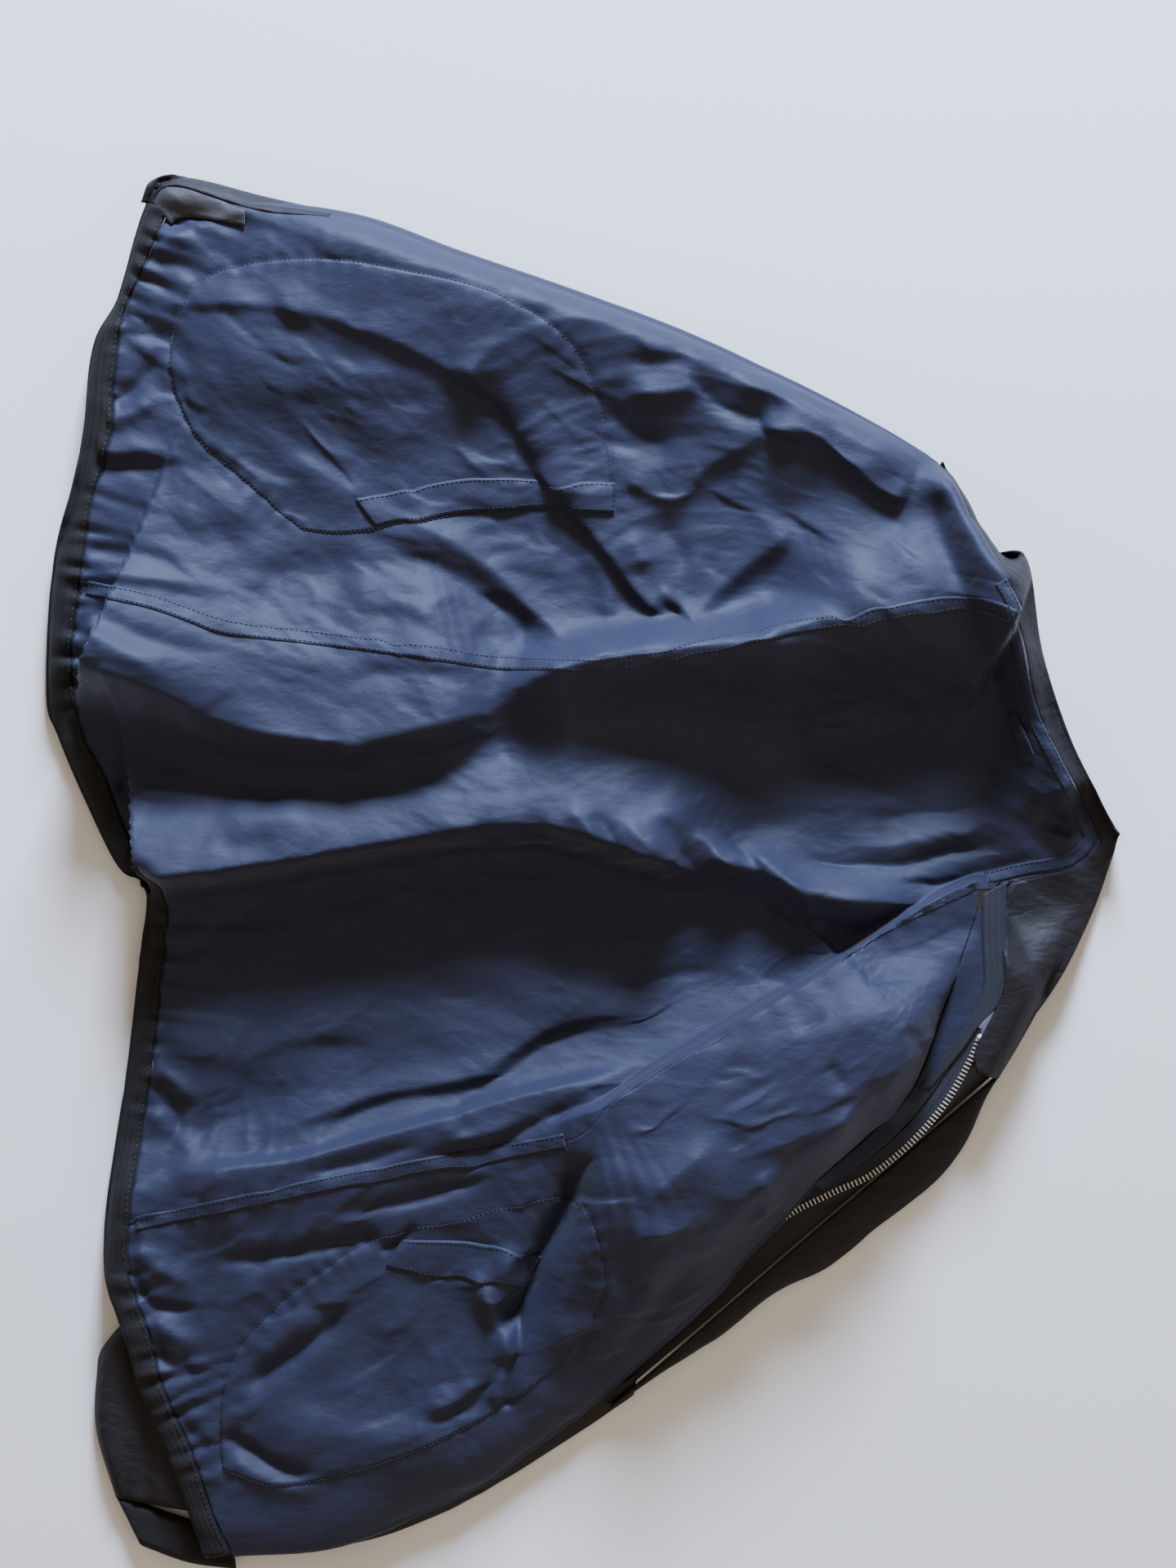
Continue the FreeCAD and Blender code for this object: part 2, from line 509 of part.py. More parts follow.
def sleeves():
    pairs = {"right": (RIGHT_SLEEVE, RIGHT_CUFF), "left": (LEFT_SLEEVE, LEFT_CUFF)}
    for side, (sleeve, cuff) in pairs.items():
        outer = region(*sleeve).extrude(V(0, 0, SLEEVE_T))
        rounded = outer.makeFillet(SLEEVE_ROUND, [e for e in outer.Edges if e.BoundBox.ZLength < 0.01])
        outer = rounded if rounded.isValid() else outer
        inner_runs = [offset_run(run, SLEEVE_CORE_IN) for run in sleeve]
        core = region(*inner_runs).extrude(V(0, 0, SLEEVE_T - 2 * SHELL_T - 2 * PLY_GAP))
        core.translate(V(0, 0, SHELL_T + PLY_GAP))
        room_runs = [offset_run(run, SLEEVE_CORE_IN - PLY_GAP) for run in sleeve]
        room = region(*room_runs).extrude(V(0, 0, SLEEVE_T - 2 * SHELL_T))
        room.translate(V(0, 0, SHELL_T))
        save(f"{side}_sleeve_shell", outer.cut(room))
        save(f"{side}_sleeve_lining", core)
        save(f"{side}_cuff", region(*cuff).extrude(V(0, 0, CUFF_T)))


def main():
    os.makedirs("parts", exist_ok=True)
    body_panels()
    seam_tapes()
    hem_band()
    pockets()
    neck_and_collar()
    left_front_edge()
    storm_flap()
    right_zip()
    zip_slider()
    sleeves()
    print("box", bounds)


main()
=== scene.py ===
"""A lined zip-front jacket, opened out and laid on its outside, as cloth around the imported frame."""
import logging
import math
from dataclasses import dataclass
from enum import Enum

import bmesh
import bpy
import numpy as np
from mathutils import Matrix, Vector, noise


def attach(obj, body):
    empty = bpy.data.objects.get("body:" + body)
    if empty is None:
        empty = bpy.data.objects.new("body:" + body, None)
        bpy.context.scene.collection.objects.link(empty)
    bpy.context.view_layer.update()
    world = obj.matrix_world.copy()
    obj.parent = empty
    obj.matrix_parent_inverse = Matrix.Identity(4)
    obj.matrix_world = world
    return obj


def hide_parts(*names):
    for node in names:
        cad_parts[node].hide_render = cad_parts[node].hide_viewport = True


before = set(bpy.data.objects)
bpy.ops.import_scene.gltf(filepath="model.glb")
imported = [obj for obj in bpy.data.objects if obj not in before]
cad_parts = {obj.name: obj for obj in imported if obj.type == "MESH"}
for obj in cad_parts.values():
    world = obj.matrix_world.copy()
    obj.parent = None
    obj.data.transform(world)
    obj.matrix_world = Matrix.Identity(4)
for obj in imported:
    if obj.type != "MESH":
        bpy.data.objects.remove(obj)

log = logging.getLogger("jacket")

MM = 0.001                 # outlines and folds are written in millimetres
CLOTH_T = 0.5              # the thickness of one layer of lining
LINING, SHELL, BAND = "lining_taffeta", "shell_cloth", "twill_band"     # slots that many pieces share
ROOT = "jacket"
Point = tuple[float, float]


class Side(Enum):
    """The wearer's side that a piece belongs to."""

    RIGHT = "right"
    LEFT = "left"


# ---- lines on the ground plane ------------------------------------------
@dataclass(frozen=True)
class Run:
    """A smooth line through given points, in millimetres."""

    points: tuple[Point, ...]
    per_span: int = 6

    def smooth(self) -> np.ndarray:
        """Return the line's points, shape (n, 2), as a centripetal curve through the chosen ones."""
        chosen = np.array(self.points, float)
        if len(chosen) < 3:
            return chosen
        ends = np.vstack([2 * chosen[0] - chosen[1], chosen, 2 * chosen[-1] - chosen[-2]])
        t = np.linspace(0, 1, self.per_span, endpoint=False)[:, None]
        out = []
        for a, b, c, d in zip(ends, ends[1:], ends[2:], ends[3:]):
            bend = (2 * b + (c - a) * t + (2 * a - 5 * b + 4 * c - d) * t ** 2
                    + (3 * b - a - 3 * c + d) * t ** 3)
            out.append(bend / 2)
        return np.vstack(out + [chosen[-1:]])

    def even(self, count: int) -> np.ndarray:
        """Return `count` points evenly spaced along the line, shape (count, 2)."""
        line = self.smooth()
        walked = np.concatenate([[0], np.cumsum(np.linalg.norm(np.diff(line, axis=0), axis=1))])
        at = np.linspace(0, walked[-1], count)
        return np.stack([np.interp(at, walked, line[:, k]) for k in (0, 1)], axis=1)

    def length(self) -> float:
        """Return the line's length in millimetres."""
        return float(np.linalg.norm(np.diff(self.smooth(), axis=0), axis=1).sum())

    def near(self, x: np.ndarray, y: np.ndarray) -> tuple[np.ndarray, np.ndarray, np.ndarray]:
        """Measure points against the line.

        Args:
            x: The points' X, in millimetres.
            y: The points' Y.

        Returns:
            Signed distance (positive to the left of the line), distance along it, and the direction of
            the left side as an array of shape (..., 2).
        """
        line = self.smooth()
        best = np.full(x.shape, 1e9)
        side = np.ones(x.shape)
        along = np.zeros(x.shape)
        left = np.zeros(x.shape + (2,))
        walked = 0.0
        for (ax, ay), (bx, by) in zip(line, line[1:]):
            dx, dy = bx - ax, by - ay
            span = math.hypot(dx, dy)
            t = np.clip(((x - ax) * dx + (y - ay) * dy) / span ** 2, 0, 1)
            gap = np.hypot(x - ax - t * dx, y - ay - t * dy)
            nearer = gap < best
            best = np.where(nearer, gap, best)
            side = np.where(nearer, np.where(dx * (y - ay) - dy * (x - ax) >= 0, 1.0, -1.0), side)
            along = np.where(nearer, walked + t * span, along)
            left[nearer] = (-dy / span, dx / span)
            walked += span
        return best * side, along, left


def run(*points: Point) -> Run:
    """Return a Run through the given points."""
    return Run(tuple(points))


def ease(t: np.ndarray) -> np.ndarray:
    """Return the smooth step of t between 0 and 1."""
    t = np.clip(t, 0, 1)
    return t * t * (3 - 2 * t)


# ---- the pattern as laid out --------------------------------------------
RIGHT_EDGE = run((-250, 409), (-191, 411), (-131, 403), (-76, 383), (-6, 359), (59, 335), (119, 308),
                 (169, 283), (217, 255))
RIGHT_SEAM = run((-303, 181), (-256, 171), (-211, 156), (-156, 149), (-76, 139), (4, 129), (69, 140),
                 (144, 156), (224, 169), (262, 155))
LEFT_SEAM = run((-274, -205), (-206, -190), (-131, -174), (-56, -161), (-6, -151), (24, -131), (94, -88),
                (154, -53), (209, -18), (243, -1))
LEFT_EDGE = run((-212, -405), (-156, -401), (-106, -385), (-72, -372), (-31, -344), (14, -309), (69, -259),
                (110, -215), (144, -178), (172, -152), (199, -123), (219, -69), (241, -6))
HEM_RIGHT = run((-250, 409), (-261, 381), (-277, 344), (-282, 301), (-284, 269), (-296, 231), (-303, 181))
HEM_BACK = run((-303, 181), (-308, 141), (-307, 116), (-302, 89), (-291, 69), (-276, 31), (-263, 11),
               (-253, -1), (-255, -48), (-261, -108), (-268, -158), (-274, -205))
HEM_LEFT = run((-274, -205), (-273, -238), (-261, -271), (-253, -303), (-236, -341), (-225, -375),
               (-212, -405))
HEM = Run(HEM_RIGHT.points + HEM_BACK.points[1:] + HEM_LEFT.points[1:])
HEM_EDGE = run((-263, 414), (-269, 398), (-281, 356), (-296, 326), (-300, 280), (-308, 241), (-321, 191),
               (-325, 116), (-318, 91), (-301, 51), (-281, 11), (-264, -3), (-268, -45), (-275, -108),
               (-283, -160), (-289, -205), (-287, -240), (-275, -275), (-266, -308), (-250, -345), (-238, -378),
               (-227, -408))
NECK_RIGHT = run((217, 255), (237, 210), (251, 181), (262, 155))
NECK_BACK = run((262, 155), (273, 111), (289, 76), (309, 41), (316, 25), (300, 10), (270, 5), (243, -1))
OUTLINE = run((-256, 427), (-236, 430), (-191, 419), (-131, 404), (-76, 384), (-6, 360), (59, 336),
              (119, 309), (169, 284), (219, 255), (251, 201), (269, 196), (278, 141), (294, 91), (311, 56),
              (325, 31), (320, 11), (309, -18), (289, -53), (266, -98), (249, -128), (226, -178), (204, -198),
              (174, -223), (134, -253), (94, -273), (59, -293), (14, -323), (-31, -351), (-76, -375),
              (-116, -392), (-156, -404), (-215, -410), (-240, -378), (-266, -312), (-291, -263), (-289, -203),
              (-273, -83), (-263, -3), (-281, 11), (-301, 51), (-318, 91), (-325, 116), (-321, 191),
              (-306, 241), (-296, 326), (-281, 356), (-268, 401), (-256, 427))
CHAIN = run((-200, -402), (-156, -392), (-106, -376), (-62, -356), (-26, -336), (14, -300), (69, -250),
            (118, -206), (151, -187), (175, -175), (200, -154), (220, -130), (235, -103), (241.5, -86))
# how high the middle of the left chain lies, at the same places
CHAIN_LEVEL = (8, 8, 8, 6, 5, 5, 6, 12, 18, 23, 28, 31, 33, 34)


# ---- the lie of the cloth -----------------------------------------------
@dataclass(frozen=True)
class Fold:
    """A ridge (or, with a negative rise, a furrow) in the lie of the cloth, in millimetres.

    `left` and `right` are its widths to each side of its run, `power` sharpens or rounds its section,
    `fade` is the share of its length over which each end dies away, and `lean` tips its crest over to
    the right.
    """

    rise: float
    left: float
    right: float
    line: Run
    power: float = 1.8
    fade: tuple[float, float] = (0.2, 0.2)
    lean: float = 0.0


def fold(rise: float, left: float, right: float, *points: Point, **more: object) -> Fold:
    """Return a Fold through the given points."""
    return Fold(rise, left, right, run(*points), **more)


BIG_FOLDS = (
    # the rolled right front, and the two long ridges of the back
    fold(17, 22, 45, (-215, 388), (-150, 388), (-76, 362), (0, 340), (59, 318), (119, 291), (169, 264),
         (212, 238), fade=(0.2, 0.1)),
    fold(43, 66, 20, (-296, 140), (-250, 122), (-206, 102), (-154, 94), (-115, 98), (-68, 107), (-20, 122),
         fade=(0.0, 0.25), power=1.6, lean=5),
    fold(44, 17, 42, (-60, 108), (-5, 128), (46, 138), (97, 142), (123, 150), (161, 161), (180, 165),
         fade=(0.2, 0.3), power=1.7, lean=-3),
    fold(38, 58, 40, (120, 148), (161, 161), (190, 168), (228, 172), (262, 158), fade=(0.4, 0.05), power=1.9),
    fold(47, 50, 11, (-268, 8), (-206, 16), (-172, 22), (-116, 31), (-60, 41), (-20, 41), (15, 32), (55, 17),
         (88, 0), fade=(0.0, 0.15), power=1.5, lean=4),
    fold(25, 17, 14, (60, 22), (100, 12), (148, -6), (190, -9), (226, -8), power=1.6, fade=(0.2, 0.4)),
    # the left front, flopped over the back
    fold(19, 110, 5, (252, 2), (209, -18), (154, -53), (94, -88), (40, -120), (14, -136), (-30, -144),
         fade=(0.05, 0.2), power=2.0, lean=6),
    fold(27, 24, 76, (236, -40), (212, -84), (180, -112), (122, -160), (66, -200), (20, -236), (-20, -276),
         fade=(0.25, 0.3), power=2.0),
    fold(12, 5, 60, (-250, -176), (-208, -171), (-172, -167), (-114, -151), (-83, -142), (-38, -129),
         (6, -118), (44, -106), fade=(0.12, 0.2), lean=-2),
    # the collar's rim standing up behind the neck
    fold(26, 15, 24, (218, 262), (240, 205), (256, 160), (268, 118), (284, 80), (303, 42),
         fade=(0.1, 0.1), power=1.7),
    fold(-13, 9, 15, (207, 246), (213, 222), (226, 180), (240, 147), (254, 116), (266, 78), fade=(0.15, 0.3)),
    fold(-10, 40, 30, (120, 92), (170, 86), (225, 70), (270, 50), fade=(0.2, 0.2)),
)

RIGHT_FOLDS = (
    fold(-10, 6, 9, (-262, 409), (-237, 405), (-210, 401), (-190, 402), fade=(0.05, 0.35)),
    fold(8, 5, 12, (-262, 376), (-245, 391), (-214, 403), (-177, 409), fade=(0.2, 0.3)),
    fold(7, 14, 5, (-257, 354), (-237, 353), (-207, 352), (-182, 350), (-145, 341), (-106, 326), (-86, 316),
         (-62, 303), (-51, 293), fade=(0.08, 0.1), power=1.3, lean=2),
    fold(9, 30, 40, (-242, 305), (-210, 314), (-177, 312), (-145, 308), (-122, 301), (-100, 290),
         fade=(0.15, 0.25), power=1.8),
    fold(11, 60, 40, (-240, 330), (-180, 325), (-110, 305), (-60, 270), fade=(0.2, 0.25), power=2.2),
    fold(6, 6, 12, (-178, 262), (-159, 250), (-141, 239), (-128, 232), fade=(0.3, 0.2)),
    fold(15, 40, 6, (-86, 318), (-66, 312), (-48, 297), (-31, 272), (-17, 249), (-5, 232), (15, 208), (38, 178),
         (56, 160), fade=(0.12, 0.08), power=1.4, lean=4),
    fold(-7, 5, 9, (-64, 314), (-50, 299), (-34, 275), (-20, 252), (-8, 232), (12, 205), fade=(0.1, 0.2),
         power=1.5),
    fold(9, 8, 11, (-108, 226), (-99, 220), (-76, 208), (-53, 192), (-30, 169), (-8, 151), (20, 138),
         fade=(0.12, 0.05), power=1.5, lean=2),
    fold(-7, 8, 10, (-112, 208), (-80, 192), (-52, 172), (-20, 150), fade=(0.3, 0.15)),
    fold(-6, 8, 8, (24, 318), (40, 313), (56, 314), (70, 320), fade=(0.3, 0.3)),
    fold(9, 14, 7, (20, 300), (45, 295), (66, 300), (86, 305), fade=(0.3, 0.3), power=1.5),
    fold(-8, 8, 6, (69, 316), (73, 300), (84, 289), (104, 282), (120, 287), (126, 298), fade=(0.2, 0.2),
         power=1.6),
    fold(6, 10, 8, (88, 304), (104, 299), (120, 303), fade=(0.4, 0.4)),
    fold(10, 18, 6, (104, 283), (123, 279), (143, 272), (161, 259), (179, 242), (198, 233), fade=(0.15, 0.08),
         power=1.4, lean=3),
    fold(-9, 34, 26, (120, 245), (160, 225), (200, 205), fade=(0.25, 0.25), power=2.2),
    fold(11, 9, 22, (130, 222), (118, 210), (104, 200), (88, 187), (72, 170), (60, 160), fade=(0.2, 0.05),
         power=1.6, lean=-2),
    fold(8, 16, 6, (18, 236), (30, 244), (45, 238), (58, 236), (72, 252), (92, 264), (112, 272),
         fade=(0.2, 0.2), power=1.5, lean=2),
    fold(-6, 6, 8, (10, 292), (28, 276), (42, 268), (58, 264), fade=(0.2, 0.3), power=1.5),
    fold(-6, 8, 12, (40, 226), (56, 206), (60, 190), (52, 172), fade=(0.3, 0.15)),
    fold(5, 7, 7, (0, 205), (10, 192), (16, 176), (14, 160), fade=(0.3, 0.2)),
    fold(5, 8, 8, (24, 214), (36, 200), (38, 188), fade=(0.4, 0.3)),
    # pulls that start at the gathered hem
    fold(-5, 4, 8, (-296, 254), (-266, 255), (-232, 250), (-214, 240), fade=(0.05, 0.8)),
    fold(6, 8, 4, (-292, 262), (-262, 262), (-228, 256), fade=(0.05, 0.6)),
    fold(-4, 5, 9, (-300, 203), (-262, 199), (-226, 191), (-190, 188), (-150, 190), fade=(0.05, 0.8)),
    fold(5, 8, 4, (-302, 194), (-268, 186), (-220, 180), (-190, 176), fade=(0.05, 0.6)),
    fold(-5, 4, 5, (-284, 292), (-272, 300), (-258, 316), (-250, 332), fade=(0.05, 0.4)),
    fold(5, 6, 5, (-286, 280), (-268, 286), (-252, 298), fade=(0.05, 0.5)),
    fold(-4, 4, 5, (-278, 336), (-262, 334), (-236, 334), fade=(0.05, 0.6)),
    fold(6, 16, 12, (-250, 222), (-220, 226), (-190, 222), fade=(0.3, 0.3), power=2),
    fold(-7, 12, 14, (-200, 186), (-165, 189), (-130, 193), fade=(0.3, 0.3), power=2),
    fold(5, 14, 8, (-150, 168), (-110, 172), (-70, 160), fade=(0.3, 0.3), power=2),
    fold(-4, 5, 6, (-296, 168), (-262, 152), (-228, 142), (-196, 140), fade=(0.05, 0.4)),
    fold(5, 6, 6, (-300, 158), (-268, 142), (-238, 128), fade=(0.05, 0.4)),
    fold(-4, 6, 6, (-150, 118), (-120, 128), (-90, 128), (-60, 124), fade=(0.3, 0.3)),
)

BACK_FOLDS = (
    fold(5, 5, 4, (-12, 50), (0, 44), (8, 34), (12, 24), fade=(0.3, 0.3), power=1.5),
    fold(-5, 4, 4, (4, 48), (16, 38), (24, 26), (34, 18), fade=(0.3, 0.3), power=1.5),
    fold(6, 5, 5, (24, 44), (34, 34), (46, 26), (60, 16), fade=(0.3, 0.2), power=1.5),
    fold(-5, 4, 5, (40, 42), (54, 34), (62, 22), (72, 10), fade=(0.3, 0.2), power=1.5),
    fold(7, 5, 5, (62, 34), (76, 27), (84, 16), (98, 8), fade=(0.3, 0.2), power=1.5),
    fold(-6, 4, 5, (80, 32), (92, 26), (104, 14), (112, 0), fade=(0.3, 0.2), power=1.5),
    fold(6, 5, 6, (96, 22), (112, 14), (124, 2), (134, -16), fade=(0.3, 0.2), power=1.5),
    fold(6, 5, 6, (118, 6), (134, -6), (140, -22), (152, -36), fade=(0.3, 0.2), power=1.5),
    fold(-5, 5, 5, (110, -14), (124, -22), (132, -34), fade=(0.3, 0.3), power=1.5),
    fold(-4, 5, 5, (-36, 46), (-24, 40), (-18, 32), fade=(0.3, 0.3)),
    fold(-3, 5, 5, (-64, 44), (-54, 36), (-50, 28), fade=(0.3, 0.3)),
    fold(-5, 5, 7, (-282, 62), (-262, 50), (-240, 48), (-222, 50), fade=(0.05, 0.5)),
    fold(4, 10, 8, (-220, 42), (-190, 40), (-160, 44), fade=(0.3, 0.3)),
    fold(-3, 6, 8, (-222, 28), (-198, 26), (-180, 32), fade=(0.3, 0.3)),
    # creases that run into the neck
    fold(-6, 4, 5, (118, 22), (150, 15), (190, 12), (232, 22), (262, 28), fade=(0.3, 0.15), power=1.4),
    fold(6, 7, 6, (150, 28), (190, 24), (226, 32), (256, 42), fade=(0.3, 0.2)),
    fold(-5, 6, 6, (170, 40), (205, 44), (240, 56), fade=(0.3, 0.3)),
    fold(-4, 5, 12, (172, 66), (200, 58), (232, 60), fade=(0.3, 0.3)),
    fold(-5, 5, 5, (180, 2), (220, 2), (258, 12), (284, 18), fade=(0.3, 0.2), power=1.4),
    fold(6, 5, 5, (286, 66), (294, 50), (302, 34), fade=(0.3, 0.3)),
    fold(5, 4, 5, (268, 38), (286, 30), (304, 24), fade=(0.3, 0.2)),
    fold(-4, 4, 4, (276, 50), (290, 40), (300, 28), fade=(0.3, 0.3)),
    # the low ground between the second ridge and the left front
    fold(-3, 5, 6, (-252, -53), (-232, -35), (-199, -11), (-175, -3), fade=(0.15, 0.3)),
    fold(7, 26, 12, (-256, -90), (-208, -104), (-181, -102), (-154, -90), (-118, -97), fade=(0.1, 0.3)),
    fold(-4, 5, 8, (-208, -112), (-172, -100), (-150, -97), (-122, -101), fade=(0.3, 0.3)),
    fold(10, 30, 8, (-204, -150), (-172, -141), (-130, -126), (-84, -117), (-54, -106), (-20, -84), (30, -74),
         (66, -66), fade=(0.2, 0.25), power=1.5, lean=2),
    fold(-5, 6, 8, (-172, -150), (-140, -139), (-105, -126), (-70, -124), (-38, -106), (-7, -88), (42, -80),
         fade=(0.2, 0.25)),
    fold(-3, 5, 6, (0, -66), (24, -60), (60, -54), (92, -50), fade=(0.3, 0.3)),
    fold(6, 6, 6, (-262, -108), (-244, -122), (-232, -134), fade=(0.1, 0.4), power=1.5),
    fold(-5, 5, 6, (-262, -120), (-250, -134), (-246, -148), (-254, -160), fade=(0.1, 0.3)),
    fold(5, 7, 6, (-264, -140), (-248, -150), (-238, -164), (-252, -176), fade=(0.1, 0.3)),
)

LEFT_FOLDS = (
    fold(-6, 5, 4, (-178, -176), (-150, -170), (-120, -162), (-92, -154), fade=(0.3, 0.3), power=1.5),
    fold(-7, 4, 5, (-104, -163), (-60, -158), (-38, -147), (-11, -134), (10, -122), fade=(0.25, 0.25),
         power=1.5),
    fold(5, 6, 5, (-90, -152), (-56, -148), (-30, -138), fade=(0.3, 0.3)),
    fold(-7, 5, 4, (-152, -197), (-114, -191), (-83, -183), (-49, -175), fade=(0.2, 0.25), power=1.4),
    fold(-9, 5, 5, (-236, -228), (-194, -224), (-167, -219), (-132, -213), (-120, -208), fade=(0.4, 0.1),
         power=1.5),
    fold(-6, 3, 4, (-124, -222), (-110, -213), (-98, -203), fade=(0.3, 0.3), power=1.5),
    fold(-22, 7, 6, (8, -152), (-6, -178), (-11, -196), (-27, -223), (-34, -245), (-50, -270),
         fade=(0.25, 0.12), power=1.3),
    fold(12, 26, 12, (30, -150), (14, -178), (10, -205), (-4, -236), (-14, -268), (-24, -300),
         fade=(0.25, 0.25), power=1.7),
    fold(9, 8, 8, (-44, -212), (-46, -232), (-58, -252), (-66, -262), fade=(0.3, 0.3)),
    fold(-9, 4, 4, (-34, -250), (-38, -272), (-43, -294), (-46, -318), fade=(0.2, 0.08), power=1.3),
    fold(8, 8, 6, (-42, -262), (-48, -290), (-52, -316), fade=(0.3, 0.15)),
    fold(-7, 4, 6, (-102, -328), (-80, -319), (-65, -310), (-51, -292), (-46, -276), fade=(0.3, 0.15),
         power=1.4),
    fold(6, 8, 5, (-98, -320), (-76, -310), (-60, -298), fade=(0.3, 0.2)),
    fold(-9, 5, 6, (-206, -307), (-190, -294), (-172, -281), (-154, -267), (-145, -250), fade=(0.2, 0.2),
         power=1.4),
    fold(5, 9, 8, (-200, -290), (-178, -270), (-160, -254), fade=(0.3, 0.3)),
    fold(-8, 4, 6, (-220, -328), (-203, -339), (-190, -348), (-172, -354), (-160, -350), fade=(0.15, 0.2),
         power=1.4),
    fold(5, 6, 7, (-216, -342), (-196, -356), (-176, -364), (-150, -362), fade=(0.2, 0.3)),
    fold(9, 18, 26, (-200, -334), (-163, -330), (-127, -334), (-78, -337), (-50, -340), fade=(0.2, 0.3)),
    fold(7, 5, 8, (-66, -232), (-60, -244), (-52, -254), (-56, -268), fade=(0.2, 0.2), power=1.5),
    # pulls at the hem
    fold(-7, 4, 5, (-272, -230), (-263, -250), (-248, -256), (-228, -253), fade=(0.1, 0.3), power=1.5),
    fold(6, 7, 5, (-270, -218), (-250, -234), (-228, -240), fade=(0.1, 0.5)),
    fold(-7, 5, 4, (-258, -274), (-252, -288), (-240, -291), (-230, -290), fade=(0.1, 0.3), power=1.5),
    fold(5, 5, 6, (-258, -262), (-244, -272), (-226, -272), fade=(0.1, 0.5)),
    fold(-4, 4, 5, (-246, -316), (-236, -330), (-222, -338), fade=(0.1, 0.4)),
    # the bulge beside the zip
    fold(-9, 9, 12, (46, -176), (32, -200), (26, -222), (30, -250), fade=(0.25, 0.3), power=1.8),
    fold(10, 14, 9, (84, -148), (66, -162), (44, -182), (34, -206), (38, -226), fade=(0.25, 0.2), power=1.6),
    fold(-8, 12, 12, (122, -148), (128, -166), (120, -186), (98, -206), fade=(0.25, 0.3), power=1.8),
    fold(8, 9, 8, (104, -166), (112, -186), (104, -204), fade=(0.3, 0.3), power=1.6),
    fold(9, 9, 10, (152, -128), (156, -142), (152, -162), (140, -172), fade=(0.3, 0.3), power=1.6),
    fold(-6, 7, 9, (172, -112), (176, -126), (166, -142), fade=(0.3, 0.3)),
    fold(-3, 4, 5, (144, -104), (152, -112), (156, -120), fade=(0.3, 0.3)),
    fold(-3, 4, 5, (190, -82), (200, -92), (206, -100), fade=(0.3, 0.3)),
    fold(5, 8, 12, (60, -212), (40, -246), (6, -292), fade=(0.3, 0.3)),
    fold(-6, 7, 8, (76, -216), (58, -238), (30, -272), (2, -300), fade=(0.3, 0.3)),
)

POCKET_LEFT = run((-138, -219), (-181, -251), (-206, -279), (-216, -299), (-219, -328), (-217, -356))
POCKET_LEFT_FRONT = run((-14, -186), (-2, -189), (4, -196), (11, -214), (14, -238), (6, -262), (-4, -284))

# each bag's upper, lower, hem-side and neck-side edges
BAG_RIGHT = (run((-243, 349), (-226, 367), (-201, 375), (-156, 377), (-106, 369), (-61, 359), (-26, 342),
                 (-1, 319), (11, 292)),
             run((-168, 215), (-140, 213), (-104, 220), (-58, 226), (-12, 228), (19, 229)),
             run((-243, 349), (-248, 327), (-246, 302), (-233, 272), (-206, 247), (-168, 215)),
             run((11, 292), (16, 262), (19, 229)))
POCKET_RIGHT = Run(BAG_RIGHT[2].points[::-1] + BAG_RIGHT[0].points[1:] + BAG_RIGHT[3].points[1:])
BAG_LEFT = (run((-138, -219), (-108, -208), (-60, -197), (-14, -186)),
            run((-217, -352), (-180, -362), (-120, -348), (-60, -322), (-20, -294), (6, -262)),
            run((-138, -219), (-181, -251), (-206, -279), (-216, -299), (-219, -328), (-217, -352)),
            run((-14, -186), (-2, -189), (4, -196), (11, -214), (14, -238), (6, -262)))


def strokes(count: int, seed: int) -> tuple[Fold, ...]:
    """Return short shallow wrinkles strewn over the lining, in the direction that the cloth pulls there.

    Args:
        count: How many.
        seed: The random draw's seed.

    Returns:
        The wrinkles.
    """
    draw = np.random.default_rng(seed)
    out = []
    for _ in range(count):
        x, y = draw.uniform(-290, 250), draw.uniform(-370, 390)
        pull = math.radians(-27 if y > 140 else 24 if y < -120 else 9 - 0.06 * x)
        turn = pull + draw.normal(0, 0.24)
        half = draw.uniform(9, 34)
        sag = draw.normal(0, 0.12) * half
        ahead, side = (math.cos(turn), math.sin(turn)), (-math.sin(turn), math.cos(turn))
        ends = [(x + k * half * ahead[0] + bend * side[0], y + k * half * ahead[1] + bend * side[1])
                for k, bend in ((-1, 0.0), (0, sag), (1, 0.0))]
        depth = draw.uniform(0.9, 2.7) * (1 if draw.random() < 0.6 else -0.8)
        calm = 0.55 if -110 < y < 120 else 1.0
        left, right = draw.uniform(3.5, 8), draw.uniform(2, 4.5)
        out.append(fold(depth * calm, left, right, *ends, power=1.35, fade=(0.45, 0.45), lean=0.3 * left))
    return tuple(out)


